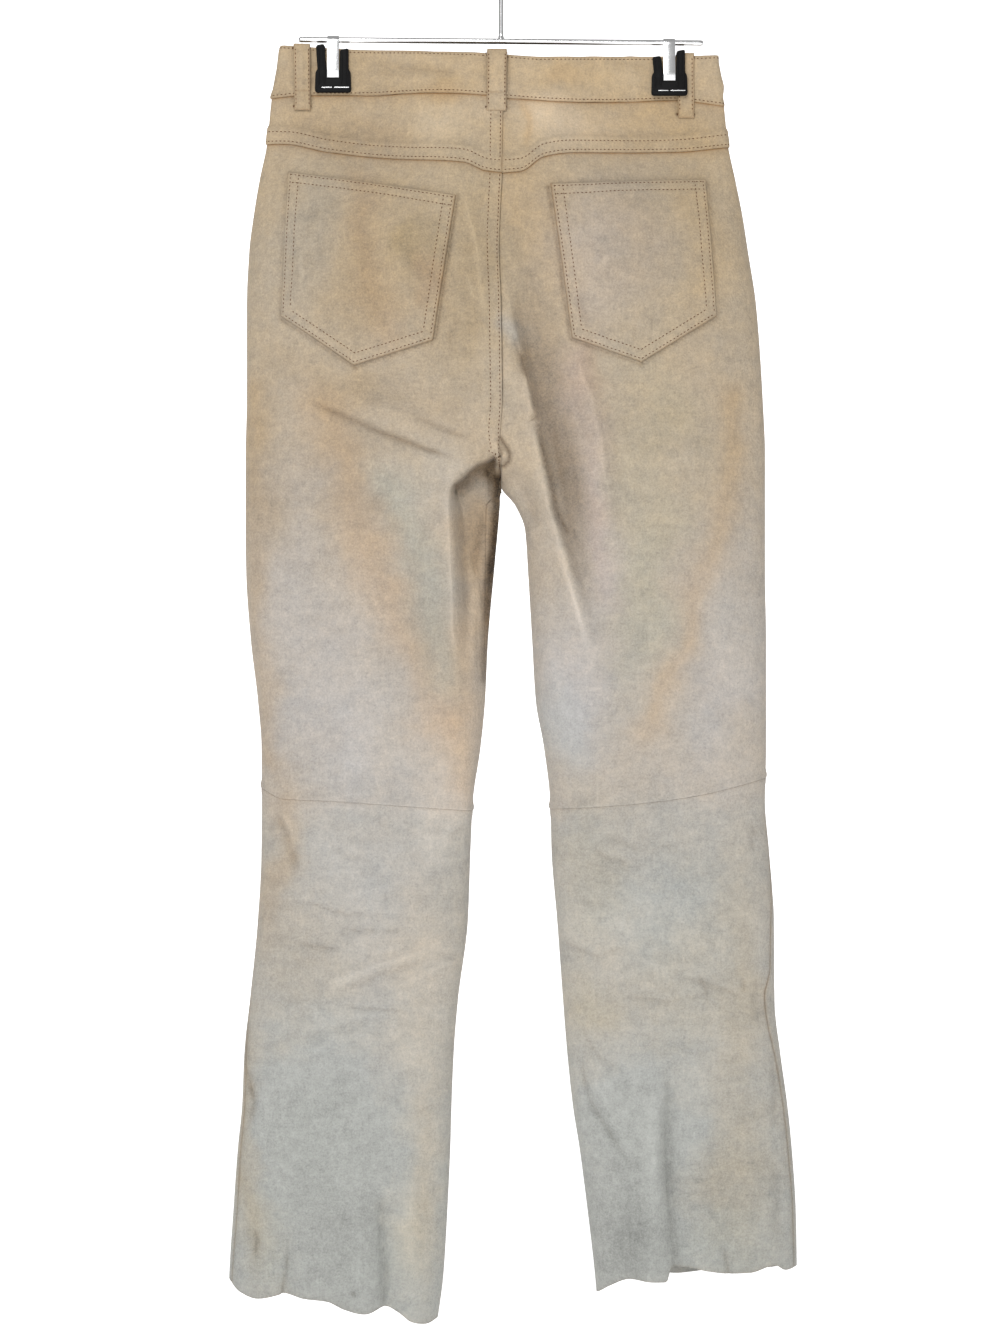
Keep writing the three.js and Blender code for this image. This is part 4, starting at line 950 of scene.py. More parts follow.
class Signal:
    # a shader socket that takes part in sums; "make" adds any other node
    def __init__(self, tree, socket=None):
        self.tree, self.socket = tree, socket

    def make(self, kind, settings=None, inputs=None, output=0):
        node = self.tree.nodes.new(kind)
        for name, value in (settings or {}).items():
            setattr(node, name, value)
        for name, value in (inputs or {}).items():
            if isinstance(value, Signal):
                self.tree.links.new(value.socket, node.inputs[name])
            else:
                node.inputs[name].default_value = value
        return Signal(self.tree, node.outputs[output] if node.outputs else None)

    def sum(self, operation, first, second):
        terms = (first, second)
        flat = all(isinstance(term, (int, float)) or isinstance(term, Signal) and term.socket.type == "VALUE"
                   for term in terms)
        if flat:
            return self.make("ShaderNodeMath", {"operation": operation}, dict(enumerate(terms)))
        terms = [(term,) * 3 if isinstance(term, (int, float)) else term for term in terms]
        return self.make("ShaderNodeVectorMath", {"operation": operation}, dict(enumerate(terms)))

    def __add__(self, other):
        return self.sum("ADD", self, other)

    def __radd__(self, other):
        return self.sum("ADD", other, self)

    def __sub__(self, other):
        return self.sum("SUBTRACT", self, other)

    def __rsub__(self, other):
        return self.sum("SUBTRACT", other, self)

    def __mul__(self, other):
        return self.sum("MULTIPLY", self, other)

    def __rmul__(self, other):
        return self.sum("MULTIPLY", other, self)

    def between(self, low, high):
        # 0 below "low", 1 above "high", and smooth from one to the other
        return self.make("ShaderNodeMapRange", {"interpolation_type": "SMOOTHSTEP"},
                         {0: self, 1: low, 2: high})

    def blend(self, first, second):
        # "first" where this is 0, "second" where it is 1
        return self.make("ShaderNodeMix", {"data_type": "RGBA"}, {0: self, 6: first, 7: second}, 2)

    def noise(self, scale, detail=2.0, roughness=0.5, stretch=(1, 1, 1)):
        # even noise with its middle at 0, on the object's own coordinates
        place = self.make("ShaderNodeTexCoord", output=3) * stretch
        found = self.make("ShaderNodeTexNoise", None,
                          {"Vector": place, "Scale": scale, "Detail": detail, "Roughness": roughness})
        return found - 0.5


def rgb(red, green, blue):
    # a colour given as it looks on a screen
    parts = [part / 255 for part in (red, green, blue)]
    return tuple(part / 12.92 if part < 0.04045 else ((part + 0.055) / 1.055) ** 2.4 for part in parts) + (1,)


materials = {}


def newMaterial(name):
    material = bpy.data.materials.new(name)
    material.use_nodes = True
    material.node_tree.nodes.clear()
    materials[name] = material
    return Signal(material.node_tree)


def surface(start, varying, constants, bumps=()):
    normal = None
    for height, distance in bumps:
        inputs = {"Height": height, "Distance": distance, "Strength": 1.0}
        if normal is not None:
            inputs["Normal"] = normal
        normal = start.make("ShaderNodeBump", None, inputs)
    if normal is not None:
        varying = {**varying, "Normal": normal}
    shader = start.make("ShaderNodeBsdfPrincipled", None, {**constants, **varying})
    start.make("ShaderNodeOutputMaterial", None, {"Surface": shader})


suedeLook = {
    "tan": rgb(173, 151, 118),
    "grey": rgb(163, 163, 160),
    # painted shadow in crease hollows and under lapped edges is browned by this colour too, besides wear
    "wornAndShadowColour": (0.60, 0.47, 0.34, 1),    # multiplies the colour at seams and stitch rows
}


def suedeMaterial():
    start = newMaterial("suede")
    warm, light, rose, seam = (
        start.make("ShaderNodeAttribute", {"attribute_name": name}, output=2)
        for name in ("warm", "light", "rose", "seam")
    )
    cloud = start.noise(24, 8, 0.66)
    blot = start.noise(110, 6, 0.74)
    brushed = start.noise(300, 3, 0.65, (0.35, 1, 1)) + start.noise(300, 3, 0.65, (1, 1, 0.35))
    nap = start.noise(620, 3, 0.8)
    fleck = start.noise(520, 1, 0.5)
    warmth = warm + cloud * 0.40 + blot * 0.26 + nap * 0.10
    # light holds the suede's own lightness together with the creases' painted shade and highlight
    shade = light + cloud * 0.25 + blot * 0.50 + brushed * 0.24 + nap * 0.85
    colour = warmth.blend(suedeLook["grey"], suedeLook["tan"])
    tint = start.make("ShaderNodeCombineXYZ", None,
                      {0: 1 + rose * 0.10, 1: 1 - rose * 0.03, 2: 1 + rose * 0.08})
    colour = colour * tint * shade
    speck = fleck.between(0.27, 0.33) * 0.32
    colour = speck.blend(colour, colour * (0.5, 0.42, 0.36))
    # seams, lapped edges and crease hollows go darker and browner: wear and painted shadow
    colour = (seam * (0.75 + blot)).blend(colour, colour * suedeLook["wornAndShadowColour"][:3])
    grain = start.noise(300, 3, 0.6)
    wrinkle = start.noise(95, 2, 0.5, (1, 1, 0.6))
    surface(start, {"Base Color": colour, "Roughness": 0.92 + nap * 0.12}, {
        "Specular IOR Level": 0.18,
        "Sheen Weight": 0.16,
        "Sheen Roughness": 0.45,
        "Sheen Tint": (1, 0.97, 0.92, 1),
    }, [(nap, 0.0004), (grain, 0.0004), (wrinkle, 0.0012)])


def plainMaterial(name, colour, spread, scale, constants, dent):
    start = newMaterial(name)
    mottle = start.noise(scale, 3, 0.6)
    surface(start, {"Base Color": (mottle + 0.5).blend(colour, spread), "Roughness":
                    constants["Roughness"] + mottle * 0.1},
            {key: value for key, value in constants.items() if key != "Roughness"},
            [(mottle, dent)] if dent else [])


suedeMaterial()
for name, dark, pale, scale, constants, dent in (
    ("thread", (72, 43, 23), (98, 64, 38), 900, {"Roughness": 0.8, "Specular IOR Level": 0.1}, 0.0003),
    ("tape", (150, 130, 100), (168, 148, 118), 1400, {"Roughness": 0.9}, 0.0003),
    ("brass", (150, 112, 60), (176, 140, 84), 300, {"Roughness": 0.38, "Metallic": 1.0}, 0.0001),
    ("plastic", (7, 7, 8), (12, 12, 12), 260, {"Roughness": 0.5, "Specular IOR Level": 0.12}, 0.00006),
    ("steel", (225, 226, 228), (240, 240, 240), 120, {"Roughness": 0.16, "Metallic": 1.0}, 0.0),
):
    plainMaterial(name, rgb(*dark), rgb(*pale), scale, constants, dent)
print("materials made")


def build(node, side, face, top, low, rows, columns, restsOn, under, stitched=(), scored=(), depth=1.6,
          dense=None, **finish):
    # a panel from the line "top" to the line "low"; rows and columns close up over these millimetres
    points = panelPoints(side, face, top, low, cells[face],
                         {"rows": rows, "columns": columns, "dense": dense})
    grooves = [(edge, inset) for edge, inset, *_ in stitched] + list(scored)
    sheet = finishSheet(points, toBack if face == "back" else toFront, grooves=grooves, **finish)
    cloth(node, sheet, sizes["suede"], under, depth)
    sewSheet(sheet, stitched)


allEdges = ("top", "inner", "outer", "low")
cells = {"back": 2.05, "front": 4.0}    # the grid's pitch
never = 3000
lift = sizes["seamLift"]
# each panel's darkened edges are wear along the seams and painted shadow where a neighbour laps over them
print("back panels")
for side in ("left", "right"):
    atCentre = side == "left"
    build(f"yoke_{side}", side, "back", "waistSeam", "yokeSeam", (4, 16), (14 if atCentre else 4, 4),
          ["waistbandCloth"], under=("top",) if atCentre else ("top", "inner"), depth=2.8,
          lifts=[("low", lift, 13, never)] + [("inner", lift, 12, never)] * atCentre,
          pressed=("low", "outer") + ("inner",) * atCentre,
          dirty=[("top", 1.2), ("outer", 0.6), ("inner", 0.4), ("low", 0.3)],
          stitched=[("low", 2.3, 1, 1), ("low", 10.6, 1, 1)]
          + [("inner", 1.9, 1, 12), ("inner", 10.2, 1, 12)] * atCentre)
    build(f"back_upper_{side}", side, "back", "yokeSeam", "knee", (4, 7), (54 if atCentre else 30, 5),
          [f"yoke_{side}Cloth"], under=("top",) if atCentre else ("top", "inner"), dense=(428, 506),
          lifts=[("low", 0.7, 2.4, never)] + [("inner", lift, 12, 400)] * atCentre,
          pressed=("low", "outer", "inner"), scored=[("low", 2.9)],
          dirty=[("top", 1.2), ("outer", 0.5), ("inner", 0.14)],
          stitched=[("inner", 1.9, 1, 306), ("inner", 10.2, 1, 312)] * atCentre)
    build(f"back_lower_{side}", side, "back", "knee", "hem", (5, 4), (5, 5), [f"back_upper_{side}Cloth"],
          under=("top",), lifts=[("top", 0.4, 2, never)], pressed=("outer", "inner"),
          dirty=[("top", 0.15), ("outer", 0.9), ("inner", 0.2), ("low", 0.3)])
print("front panels")
for side in ("left", "right"):
    build(f"front_upper_{side}", side, "front", "waistSeam", "knee", (4, 6), (5, 5), ["waistbandCloth"],
          under=("top",), depth=2.8, lifts=[("low", 1.3, 3.4, never)], pressed=("low", "outer", "inner"),
          dirty=[("top", 0.9), ("outer", 0.5), ("inner", 0.35), ("low", 0.06)],
          stitched=[("low", 2.0, 1, 1)])
    build(f"front_lower_{side}", side, "front", "knee", "hem", (5, 4), (5, 5),
          [f"front_upper_{side}Cloth"], under=("top",), lifts=[("top", 0.5, 3, never)],
          pressed=("outer", "inner"), dirty=[("top", 0.4), ("outer", 0.5), ("inner", 0.3), ("low", 0.3)])
threadMesh("panelStitching")
# the seam allowances that cross at the crotch, folded flat behind the meeting of the four panels,
# painted dark as the shade in that gap
x, drop = np.meshgrid(np.linspace(-7, 7, 5), np.linspace(440, 475, 9))
allowances = makeObject("crotchAllowances", np.stack([x, 0.35 * np.sin(x), -drop], -1).reshape(-1, 3),
                        [(k, k + 1, k + 6, k + 5) for k in range(39) if k % 5 < 4], materials["suede"])
for tone, value in (("warm", 0.6), ("light", 0.3), ("rose", 0.1), ("seam", 1.0)):
    paint(allowances, tone, np.full(x.size, value))
attach(allowances, "suede")

band = {
    "lift": 1.2,          # how far it stands off the yokes, but for the clips' grip
    "lap": 0.068,         # turns that the left end laps past the middle of the front
    "lapLift": 2.9,
    "rumple": 1.1,
    "middle": 125.0,      # the drop of its middle
    "columns": 330,
}


def bandLift(x):
    return band["lift"] * smooth(besideClips(x) / 12)


def bandPoints():
    # columns run from the left end, lapped over the front, round the back to the right end
    rows = spaced(43, 2.4, 8, 8)
    quarter = band["columns"] // 4
    spans = [("right", 2 - band["lap"], 2, 16), ("left", 2, 1, quarter), ("left", 1, 0, quarter),
             ("right", 0, 1, quarter), ("right", 1, 2, quarter)]
    grids, lifts = [], []
    for number, (side, first, last, count) in enumerate(spans):
        shares = np.linspace(0, 1, count)
        level = np.full((len(rows), 1), band["middle"])
        even = evenShares(side, (np.full_like(level, first), np.full_like(level, last)), level, shares)
        turn = mix(first, last, even)
        across = acrossAt(side, turn, np.broadcast_to(level, turn.shape))
        ends = (levelAt(line, side, turn, across) for line in ("waistTop", "waistSeam"))
        drop = mix(*ends, rows[:, None])
        points = skin(side, turn, drop)
        # the left end lies on the right one, and comes down to the garment beyond it
        lift = np.full(drop.shape, band["lapLift"] if number == 0 else 0.0)
        if number == 1:
            lift += band["lapLift"] * (1 - smooth((2 - turn) / 0.16))
        keep = slice(None) if number == len(spans) - 1 else slice(None, -1)
        grids.append(points[:, keep])
        lifts.append(lift[:, keep])
    return np.concatenate(grids, 1), np.concatenate(lifts, 1)


print("waistband")
points, lapLift = bandPoints()
x, drop = points[..., 0], -points[..., 2]
grip = bandLift(x) / band["lift"]
rumple = band["rumple"] * (softNoise(x, 2.6 * drop, 27, 41) + 0.5 * softNoise(x, 1.5 * drop, 11, 42)) * grip
sheet = finishSheet(raised(points, toBack, bandLift(x) + lapLift + rumple), toBack,
                    grooves=[("low", 2.2), ("top", 2.4)], pressed=allEdges,
                    dirty=[("top", 0.3), ("low", 0.42)])
cloth("waistband", sheet, sizes["band"])
sewSheet(sheet, [("low", 2.2, 3, 3), ("top", 2.4, 3, 3), ("inner", 2.4, 3, 3)])
threadMesh("waistbandStitching")

pocketShapes = {
    "left": ([(-37.7, 233.4), (-180.2, 210.4)], [(-57, 355.4), (-123.3, 376.2), (-185.3, 333.7)]),
    "right": ([(41.3, 223.7), (172.9, 217.2)], [(59.5, 353.2), (117.8, 373.6), (181.5, 333.7)]),
}
pocketLook = {
    "gap": 0.35,
    "pillow": 1.3,       # how far the middle stands off the seat
    "mouth": 0.5,
    "buckle": 0.3,
    "dirtAndShadowWide": 0.7,
}
beltLoops = [
    dict(node="loop_back_left", back=True, x=-169, wide=14.5, top=100.6, low=156.9, lean=0.6),
    dict(node="loop_back_centre", back=True, x=-3.4, wide=17, top=108.6, low=161.5, lean=-0.3),
    dict(node="loop_back_right", back=True, x=156.8, wide=14, top=108.2, low=163.7, lean=0.3),
    dict(node="loop_front_left", back=False, x=-78, wide=14.5, top=111.5, low=165, lean=0.2),
    dict(node="loop_front_right", back=False, x=78, wide=14.5, top=114.5, low=168, lean=-0.2),
]
loopLook = {
    "thick": 1.6,
    "stand": 2.0,         # how far its outer face stands off the band
    "arch": 2.0,          # how far the middle bows out beyond that
    "pinch": 0.7,         # how deep the fold above the lower tack is
    "seamDrop": 148,      # where the band ends under it
    "tack": 3.4,          # from the ends to the bar tacks
}


def chain(points, shares):
    # points of a line at even shares of its run, one straight piece to the next
    points = np.array(points, float)
    knots = np.linspace(0, 1, len(points))
    return np.stack([np.interp(shares, knots, points[:, axis]) for axis in (0, 1)], axis=-1)


def patchGrid(top, low, columns, rows, back):
    upper, lower = chain(top, columns), chain(low, columns)
    place = mix(upper[None], lower[None], rows[:, None, None])
    return surfaceAt(place[..., 0], place[..., 1], back)


print("pockets")
pocketRows = [("top", 2.5, 2, 2), ("top", 9.6, 3, 3), ("inner", 2.8, 1, 2.9), ("inner", 10, 1, 10.4),
              ("outer", 2.8, 1, 2.9), ("outer", 10, 1, 10.4), ("low", 2.9, 2.8, 2.8), ("low", 10.4, 10, 10)]
for side, (top, low) in pocketShapes.items():
    half = spaced(72, 1.9, 14, 0)
    columns = np.concatenate([half / 2, 1 - half[-2::-1] / 2])
    rows = spaced(135, 1.9, 14, 14)
    points, normals = patchGrid(top, low, columns, rows, True)
    u, v = np.meshgrid(columns, rows)
    pillow = pocketLook["pillow"] * (4 * u * (1 - u)) ** 0.6 * (4 * v * (1 - v)) ** 0.6
    mouth = pocketLook["mouth"] * np.exp(-(v / 0.05) ** 2) * (4 * u * (1 - u)) ** 2
    buckle = pocketLook["buckle"] * softNoise(points[..., 0], -points[..., 2], 17, 51 + len(side))
    height = sizes["suede"] + pocketLook["gap"] + pillow + mouth + buckle
    # the pocket's dark rims are painted shadow under its standing edges, with some dirt
    sheet = finishSheet(points + normals * height[..., None], toBack,
                        lifts=[("top", 0.5, 12, never)] + [(edge, 0.4, 11.5, never) for edge in allEdges[1:]],
                        grooves=[(edge, inset) for edge, inset, *_ in pocketRows], pressed=allEdges,
                        dirty=[("top", 0.3), ("inner", 0.95), ("outer", 0.5), ("low", 0.8)],
                        dirtAndShadowWide=pocketLook["dirtAndShadowWide"])
    cloth(f"pocket_{side}", sheet, sizes["suede"])
    sewSheet(sheet, pocketRows)
threadMesh("pocketStitching")

print("belt loops")
for loop in beltLoops:
    columns = np.linspace(0, 1, 13)
    rows = spaced(55, 1.5, 6, 6)
    middle, half = loop["x"], loop["wide"] / 2
    left, right = middle - half, middle + half
    points, normals = patchGrid([(left, loop["top"]), (right, loop["top"])],
                                [(left + loop["lean"], loop["low"]), (right + loop["lean"], loop["low"])],
                                columns, rows, loop["back"])
    u, v = np.meshgrid(columns - 0.5, rows)
    # the loop under the right clip's jaw lies flat
    gripped = loop["node"] == "loop_back_right"
    loose = 0.0 if gripped else 1.0
    onBand = 1 - smooth((-points[..., 2] - loopLook["seamDrop"]) / 5)
    arch = smooth(v / 0.16) * (1 - smooth((v - 0.58) / 0.14) * 0.75) * smooth((1 - v) / 0.1)
    arch = loose * (loopLook["arch"] * arch - loopLook["pinch"] * np.exp(-((v - 0.7) / 0.025) ** 2))
    folds = 0.55 * np.exp(-((u - 0.02) / 0.1) ** 2) + 0.35 * np.exp(-((np.abs(u) - 0.36) / 0.08) ** 2)
    ends = 0.7 * (1 - smooth(np.minimum(v, 1 - v) / 0.1))
    height = loopLook["stand"] + bandLift(points[..., 0]) * onBand + arch
    height += (folds + ends) * (0.2 if gripped else 1)
    sheet = finishSheet(points + normals * height[..., None], toBack if loop["back"] else toFront,
                        pressed=allEdges, dirty=[("inner", 0.5), ("outer", 0.5), ("top", 0.4), ("low", 0.4)])
    # the loop's darkened edges and this dark line across the fold under its step are painted shadow, with
    # wear at the edges
    foldShadow = np.exp(-((v - 0.71) / 0.018) ** 2)
    sheet["dirt"] = np.maximum(sheet["dirt"], (0.1 if gripped else 0.4) * foldShadow)
    cloth(loop["node"], sheet, loopLook["thick"])
    sewSheet(sheet, [("inner", 1.7, 4, 4), ("outer", 1.7, 4, 4)])
    # the bar tacks across both ends, a little wider than the loop
    for edge in ("top", "low"):
        line, lineNormals = insetLine(sheet, edge, loopLook["tack"])
        span, normal = line[-1] - line[0], lineNormals[len(line) // 2]
        outward = span / np.linalg.norm(span)
        for place in np.arange(-0.05, 1.06, 0.062):
            sunk = 0.1 + 9 * max(0, -place, place - 1)
            stitches.append((line[0] + span * place - normal * sunk,
                             np.cross(outward, normal) + 0.12 * outward, normal, 2.3, 0.7))
threadMesh("loopStitching")

flyLook = {
    "sewn": (-35, -24),   # x of the flap's sewn edge at the band and at its end
    "free": 5,            # x of its free edge
    "top": 160,
    "end": (300, 334),    # how low the free and the sewn edges reach
    "gap": 0.4,
}
print("fly")
columns, rows = spaced(38, 2.6, 9, 3), spaced(160, 2.8, 4, 6)
u, v = np.meshgrid(columns, rows)
flapX = mix(mix(*flyLook["sewn"], v ** 2), flyLook["free"], u)
flapDrop = mix(flyLook["top"], mix(*flyLook["end"], smooth(u * 1.6)), v)
points, normals = surfaceAt(flapX, flapDrop, False)
sheet = finishSheet(points + normals * (sizes["suede"] + flyLook["gap"]), toFront,
                    grooves=[("inner", 2.2), ("inner", 8.5), ("low", 2.2)],
                    pressed=("inner", "low", "outer"), dirty=[("inner", 0.4), ("outer", 0.4), ("low", 0.4)])
cloth("fly_flap", sheet, sizes["suede"])
sewSheet(sheet, [("inner", 2.2, 2, 2), ("inner", 8.5, 2, 4), ("low", 2.2, 2, 2)])
threadMesh("flyStitching")


def joinedBoxes(name, boxes, material):
    # many small bevelled blocks as one mesh; each is its middle, three axes and three sizes
    corners = np.array([(a, b, c) for a in (-1, 1) for b in (-1, 1) for c in (-1, 1)]) * 0.5
    sides = [(0, 1, 3, 2), (4, 6, 7, 5), (0, 4, 5, 1), (2, 3, 7, 6), (0, 2, 6, 4), (1, 5, 7, 3)]
    vertices, faces = [], []
    for number, (middle, axes, lengths) in enumerate(boxes):
        vertices.append(middle + (corners * lengths) @ np.array(axes))
        faces += [[corner + 8 * number for corner in side] for side in sides]
    piece = makeObject(name, np.concatenate(vertices), faces, materials[material])
    bevel = piece.modifiers.new("edges", "BEVEL")
    bevel.width, bevel.segments = 0.2 * mm, 2
    return piece


def crisp(piece, degrees, welded):
    # keeps the edges sharper than the angle, and joins the parts' points that meet
    if welded:
        piece.modifiers.new("joined", "WELD").merge_threshold = 0.005 * mm
    piece.data.set_sharp_from_angle(angle=math.radians(degrees))
    return piece


def joined(pieces, name, slot):
    bpy.context.view_layer.objects.active = pieces[0]
    with bpy.context.temp_override(active_object=pieces[0], selected_editable_objects=pieces):
        bpy.ops.object.join()
    pieces[0].name = name
    attach(pieces[0], slot)


def frontSpot(x, drop):
    points, ways = surfaceAt([x], [drop], False)
    return points[0], ways[0]


def outlineSolid(name, rings, thick, edge, place, material):
    # a flat shape given its thickness and rounded edges; "place" turns (a, b, depth) into a point
    curve = bpy.data.curves.new(name, "CURVE")
    curve.dimensions, curve.fill_mode = "2D", "BOTH"
    curve.extrude, curve.bevel_depth, curve.bevel_resolution, curve.offset = thick / 2 - edge, edge, 3, -edge
    for ring in rings:
        spline = curve.splines.new("POLY")
        spline.points.add(len(ring) - 1)
        spline.points.foreach_set("co", np.array([(a, b, 0, 1) for a, b in ring], float).ravel())
        spline.use_cyclic_u = True
    shape = bpy.data.objects.new(name, curve)
    found = np.array([vertex.co for vertex in shape.to_mesh().vertices])
    faces = [list(face.vertices) for face in shape.to_mesh().polygons]
    shape.to_mesh_clear()
    bpy.data.objects.remove(shape)
    bpy.data.curves.remove(curve)
    return crisp(makeObject(name, place(found), faces, materials[material]), 38, True)


def rounded(points, radius, steps=5):
    # the corners of a closed outline, rounded
    smoothRing = []
    count = len(points)
    for k, corner in enumerate(points):
        corner = np.array(corner, float)
        before, after = np.array(points[k - 1], float), np.array(points[(k + 1) % count], float)
        reach = radius[k] if isinstance(radius, (list, tuple)) else radius
        start = corner + (before - corner) / np.linalg.norm(before - corner) * reach
        end = corner + (after - corner) / np.linalg.norm(after - corner) * reach
        for t in np.linspace(0, 1, steps):
            smoothRing.append(tuple((1 - t) ** 2 * start + 2 * t * (1 - t) * corner + t * t * end))
    return smoothRing


def wire(name, lines, material):
    # round wires along smooth lines of (x, y, z, radius)
    curve = bpy.data.curves.new(name, "CURVE")
    curve.dimensions, curve.bevel_depth, curve.bevel_resolution = "3D", 1.0, 6
    curve.use_fill_caps, curve.resolution_u = True, 10
    for line in lines:
        spline = curve.splines.new("BEZIER")
        spline.bezier_points.add(len(line) - 1)
        for point, (x, y, z, radius) in zip(spline.bezier_points, line):
            point.co, point.radius = (x, y, z), radius
            point.handle_left_type = point.handle_right_type = "AUTO"
    shape = bpy.data.objects.new(name, curve)
    bpy.context.scene.collection.objects.link(shape)
    bpy.context.view_layer.update()
    mesh = shape.evaluated_get(bpy.context.evaluated_depsgraph_get()).to_mesh()
    found = np.array([vertex.co for vertex in mesh.vertices])
    faces = [list(face.vertices) for face in mesh.polygons]
    bpy.data.objects.remove(shape)
    bpy.data.curves.remove(curve)
    return crisp(makeObject(name, found, faces, materials[material]), 50, False)


zipLook = {
    "middle": 1.4,        # x of the teeth
    "tapeHalf": 11,
    "tapeThick": 0.9,
    "top": 162,
    "end": 326,
    "pitch": 2.4,
    "slider": 166,
}
print("zip")
columns, rows = np.linspace(-1, 1, 15), spaced(164, 3.5, 0, 0)
u, v = np.meshgrid(columns, rows)
middle, across = zipLook["middle"], np.array([1.0, 0, 0])
points, normals = surfaceAt(middle + u * zipLook["tapeHalf"], mix(zipLook["top"], zipLook["end"], v), False)
sheet = finishSheet(points - normals * (sizes["suede"] + 0.45), toFront)
tape = cloth("fly_zip", sheet, zipLook["tapeThick"])
tape.data.materials[0] = materials["tape"]
toothDrops = np.arange(zipLook["top"] + 8, zipLook["end"] - 6, zipLook["pitch"] / 2)
aside = np.where(np.arange(len(toothDrops)) % 2, 1.1, -1.1)
spots, ways = surfaceAt(middle + aside, toothDrops, False)
boxes = [(spot - way * (sizes["suede"] + 0.35), (across, np.cross(across, way), way), (3.4, 0.95, 1.7))
         for spot, way in zip(spots, ways)]
teeth = joinedBoxes("zipTeeth", boxes, "brass")
attach(teeth, "old_brass")
spot, way = frontSpot(middle, zipLook["slider"] + 5.5)
down = np.cross(across, way)
down *= np.sign(-down[2])
seat = spot - way * (sizes["suede"] - 0.9)


def onZip(stand):
    return lambda p: seat + p[:, :1] * across - p[:, 1:2] * down + (p[:, 2:] + stand) * way


body = rounded([(-3.1, 5.5), (3.1, 5.5), (2.2, -5.5), (-2.2, -5.5)], 1.6)
slider = outlineSolid("zip_sliderShell", [body], 2.2, 0.35, onZip(-0.6), "brass")
attach(slider, "old_brass", "zip_slider")
pull = rounded([(-1.6, -1), (1.6, -1), (2, -17.5), (-2, -17.5)], 1.1)
hole = rounded([(-0.9, -11), (0.9, -11), (0.9, -15.5), (-0.9, -15.5)], 0.8)
tab = outlineSolid("zipPull", [pull, hole[::-1]], 0.8, 0.2, onZip(1.0), "brass")
attach(tab, "old_brass")

print("button")
buttonLook = {
    "x": 12.0,
    "drop": 139.0,
    "stand": 4.3,
    "sides": 56,
    "profile": [(0, -1.2), (2.6, -1.2), (3, -0.6), (3, 1.4), (3.4, 1.7), (7.2, 1.7), (8.1, 2.0), (8.5, 2.6),
                (8.3, 3.2), (7.7, 3.7), (6.8, 3.9), (6.2, 3.75), (5.9, 3.4), (5.5, 3.3), (4.4, 3.65),
                (2.8, 3.95), (1.3, 4.05), (0, 4.05)],
}
sides, ring = buttonLook["sides"], np.array(buttonLook["profile"])
angles = np.arange(sides) * 2 * math.pi / sides
vertices = np.stack([ring[:, :1] * np.cos(angles), np.repeat(ring[:, 1:], sides, 1),
                     ring[:, :1] * np.sin(angles)], -1)
faces = [(k * sides + j, k * sides + (j + 1) % sides, (k + 1) * sides + (j + 1) % sides, (k + 1) * sides + j)
         for k in range(len(ring) - 1) for j in range(sides)]
spot, way = frontSpot(buttonLook["x"], buttonLook["drop"])
tilt = math.atan2(way[2], way[1])
turned = vertices.reshape(-1, 3).copy()
turned[:, 1], turned[:, 2] = (turned[:, 1] * math.cos(tilt) - turned[:, 2] * math.sin(tilt),
                              turned[:, 1] * math.sin(tilt) + turned[:, 2] * math.cos(tilt))
button = makeObject("waist_buttonShell", turned + spot + way * buttonLook["stand"], faces, materials["brass"])
attach(crisp(button, 50, True), "old_brass", "waist_button")
# the buttonhole's close stitches, showing past the button
for angle in 2 * math.pi * np.arange(0, 1, 0.035):
    spot, way = frontSpot(9 + 13 * math.cos(angle), buttonLook["drop"] + 2.2 * math.sin(angle))
    lie = np.array([math.cos(angle) * 0.4, 0, -math.sin(angle)])
    stitches.append((spot + way * 4.35, lie, way, 2.4, 0.6))
threadMesh("buttonholeStitching")

clipLook = {
    "wide": 31.0,
    "tall": 19.0,
    "thick": 3.2,
    "armWide": 7.4,
    "armGap": 11.6,
    "ribTall": 0.55,
    "lipTall": 0.8,
    "springWide": 10.0,
    "springThick": 0.8,
    "springBend": 4.5,
    "springTip": -3.2,
    "gap": 0.3,
    "ribFoot": (6.5, 7.5),   # above the plate's lower edge, of the outer and the inner ribs
}
clips = [
    dict(node="clip_left", x=-142.5, plate=132.6, bar=96.5, armInner=104, armOuter=100.5, backLift=0.0),
    dict(node="clip_right", x=142.8, plate=135.6, bar=98.9, armInner=111, armOuter=105.5, backLift=2.5),
]
hanger = {
    "barHalf": 172.0,
    "barRadius": 2.5,
    "wireRadius": 2.1,
    "bend": 19.0,         # radius of the hook
}


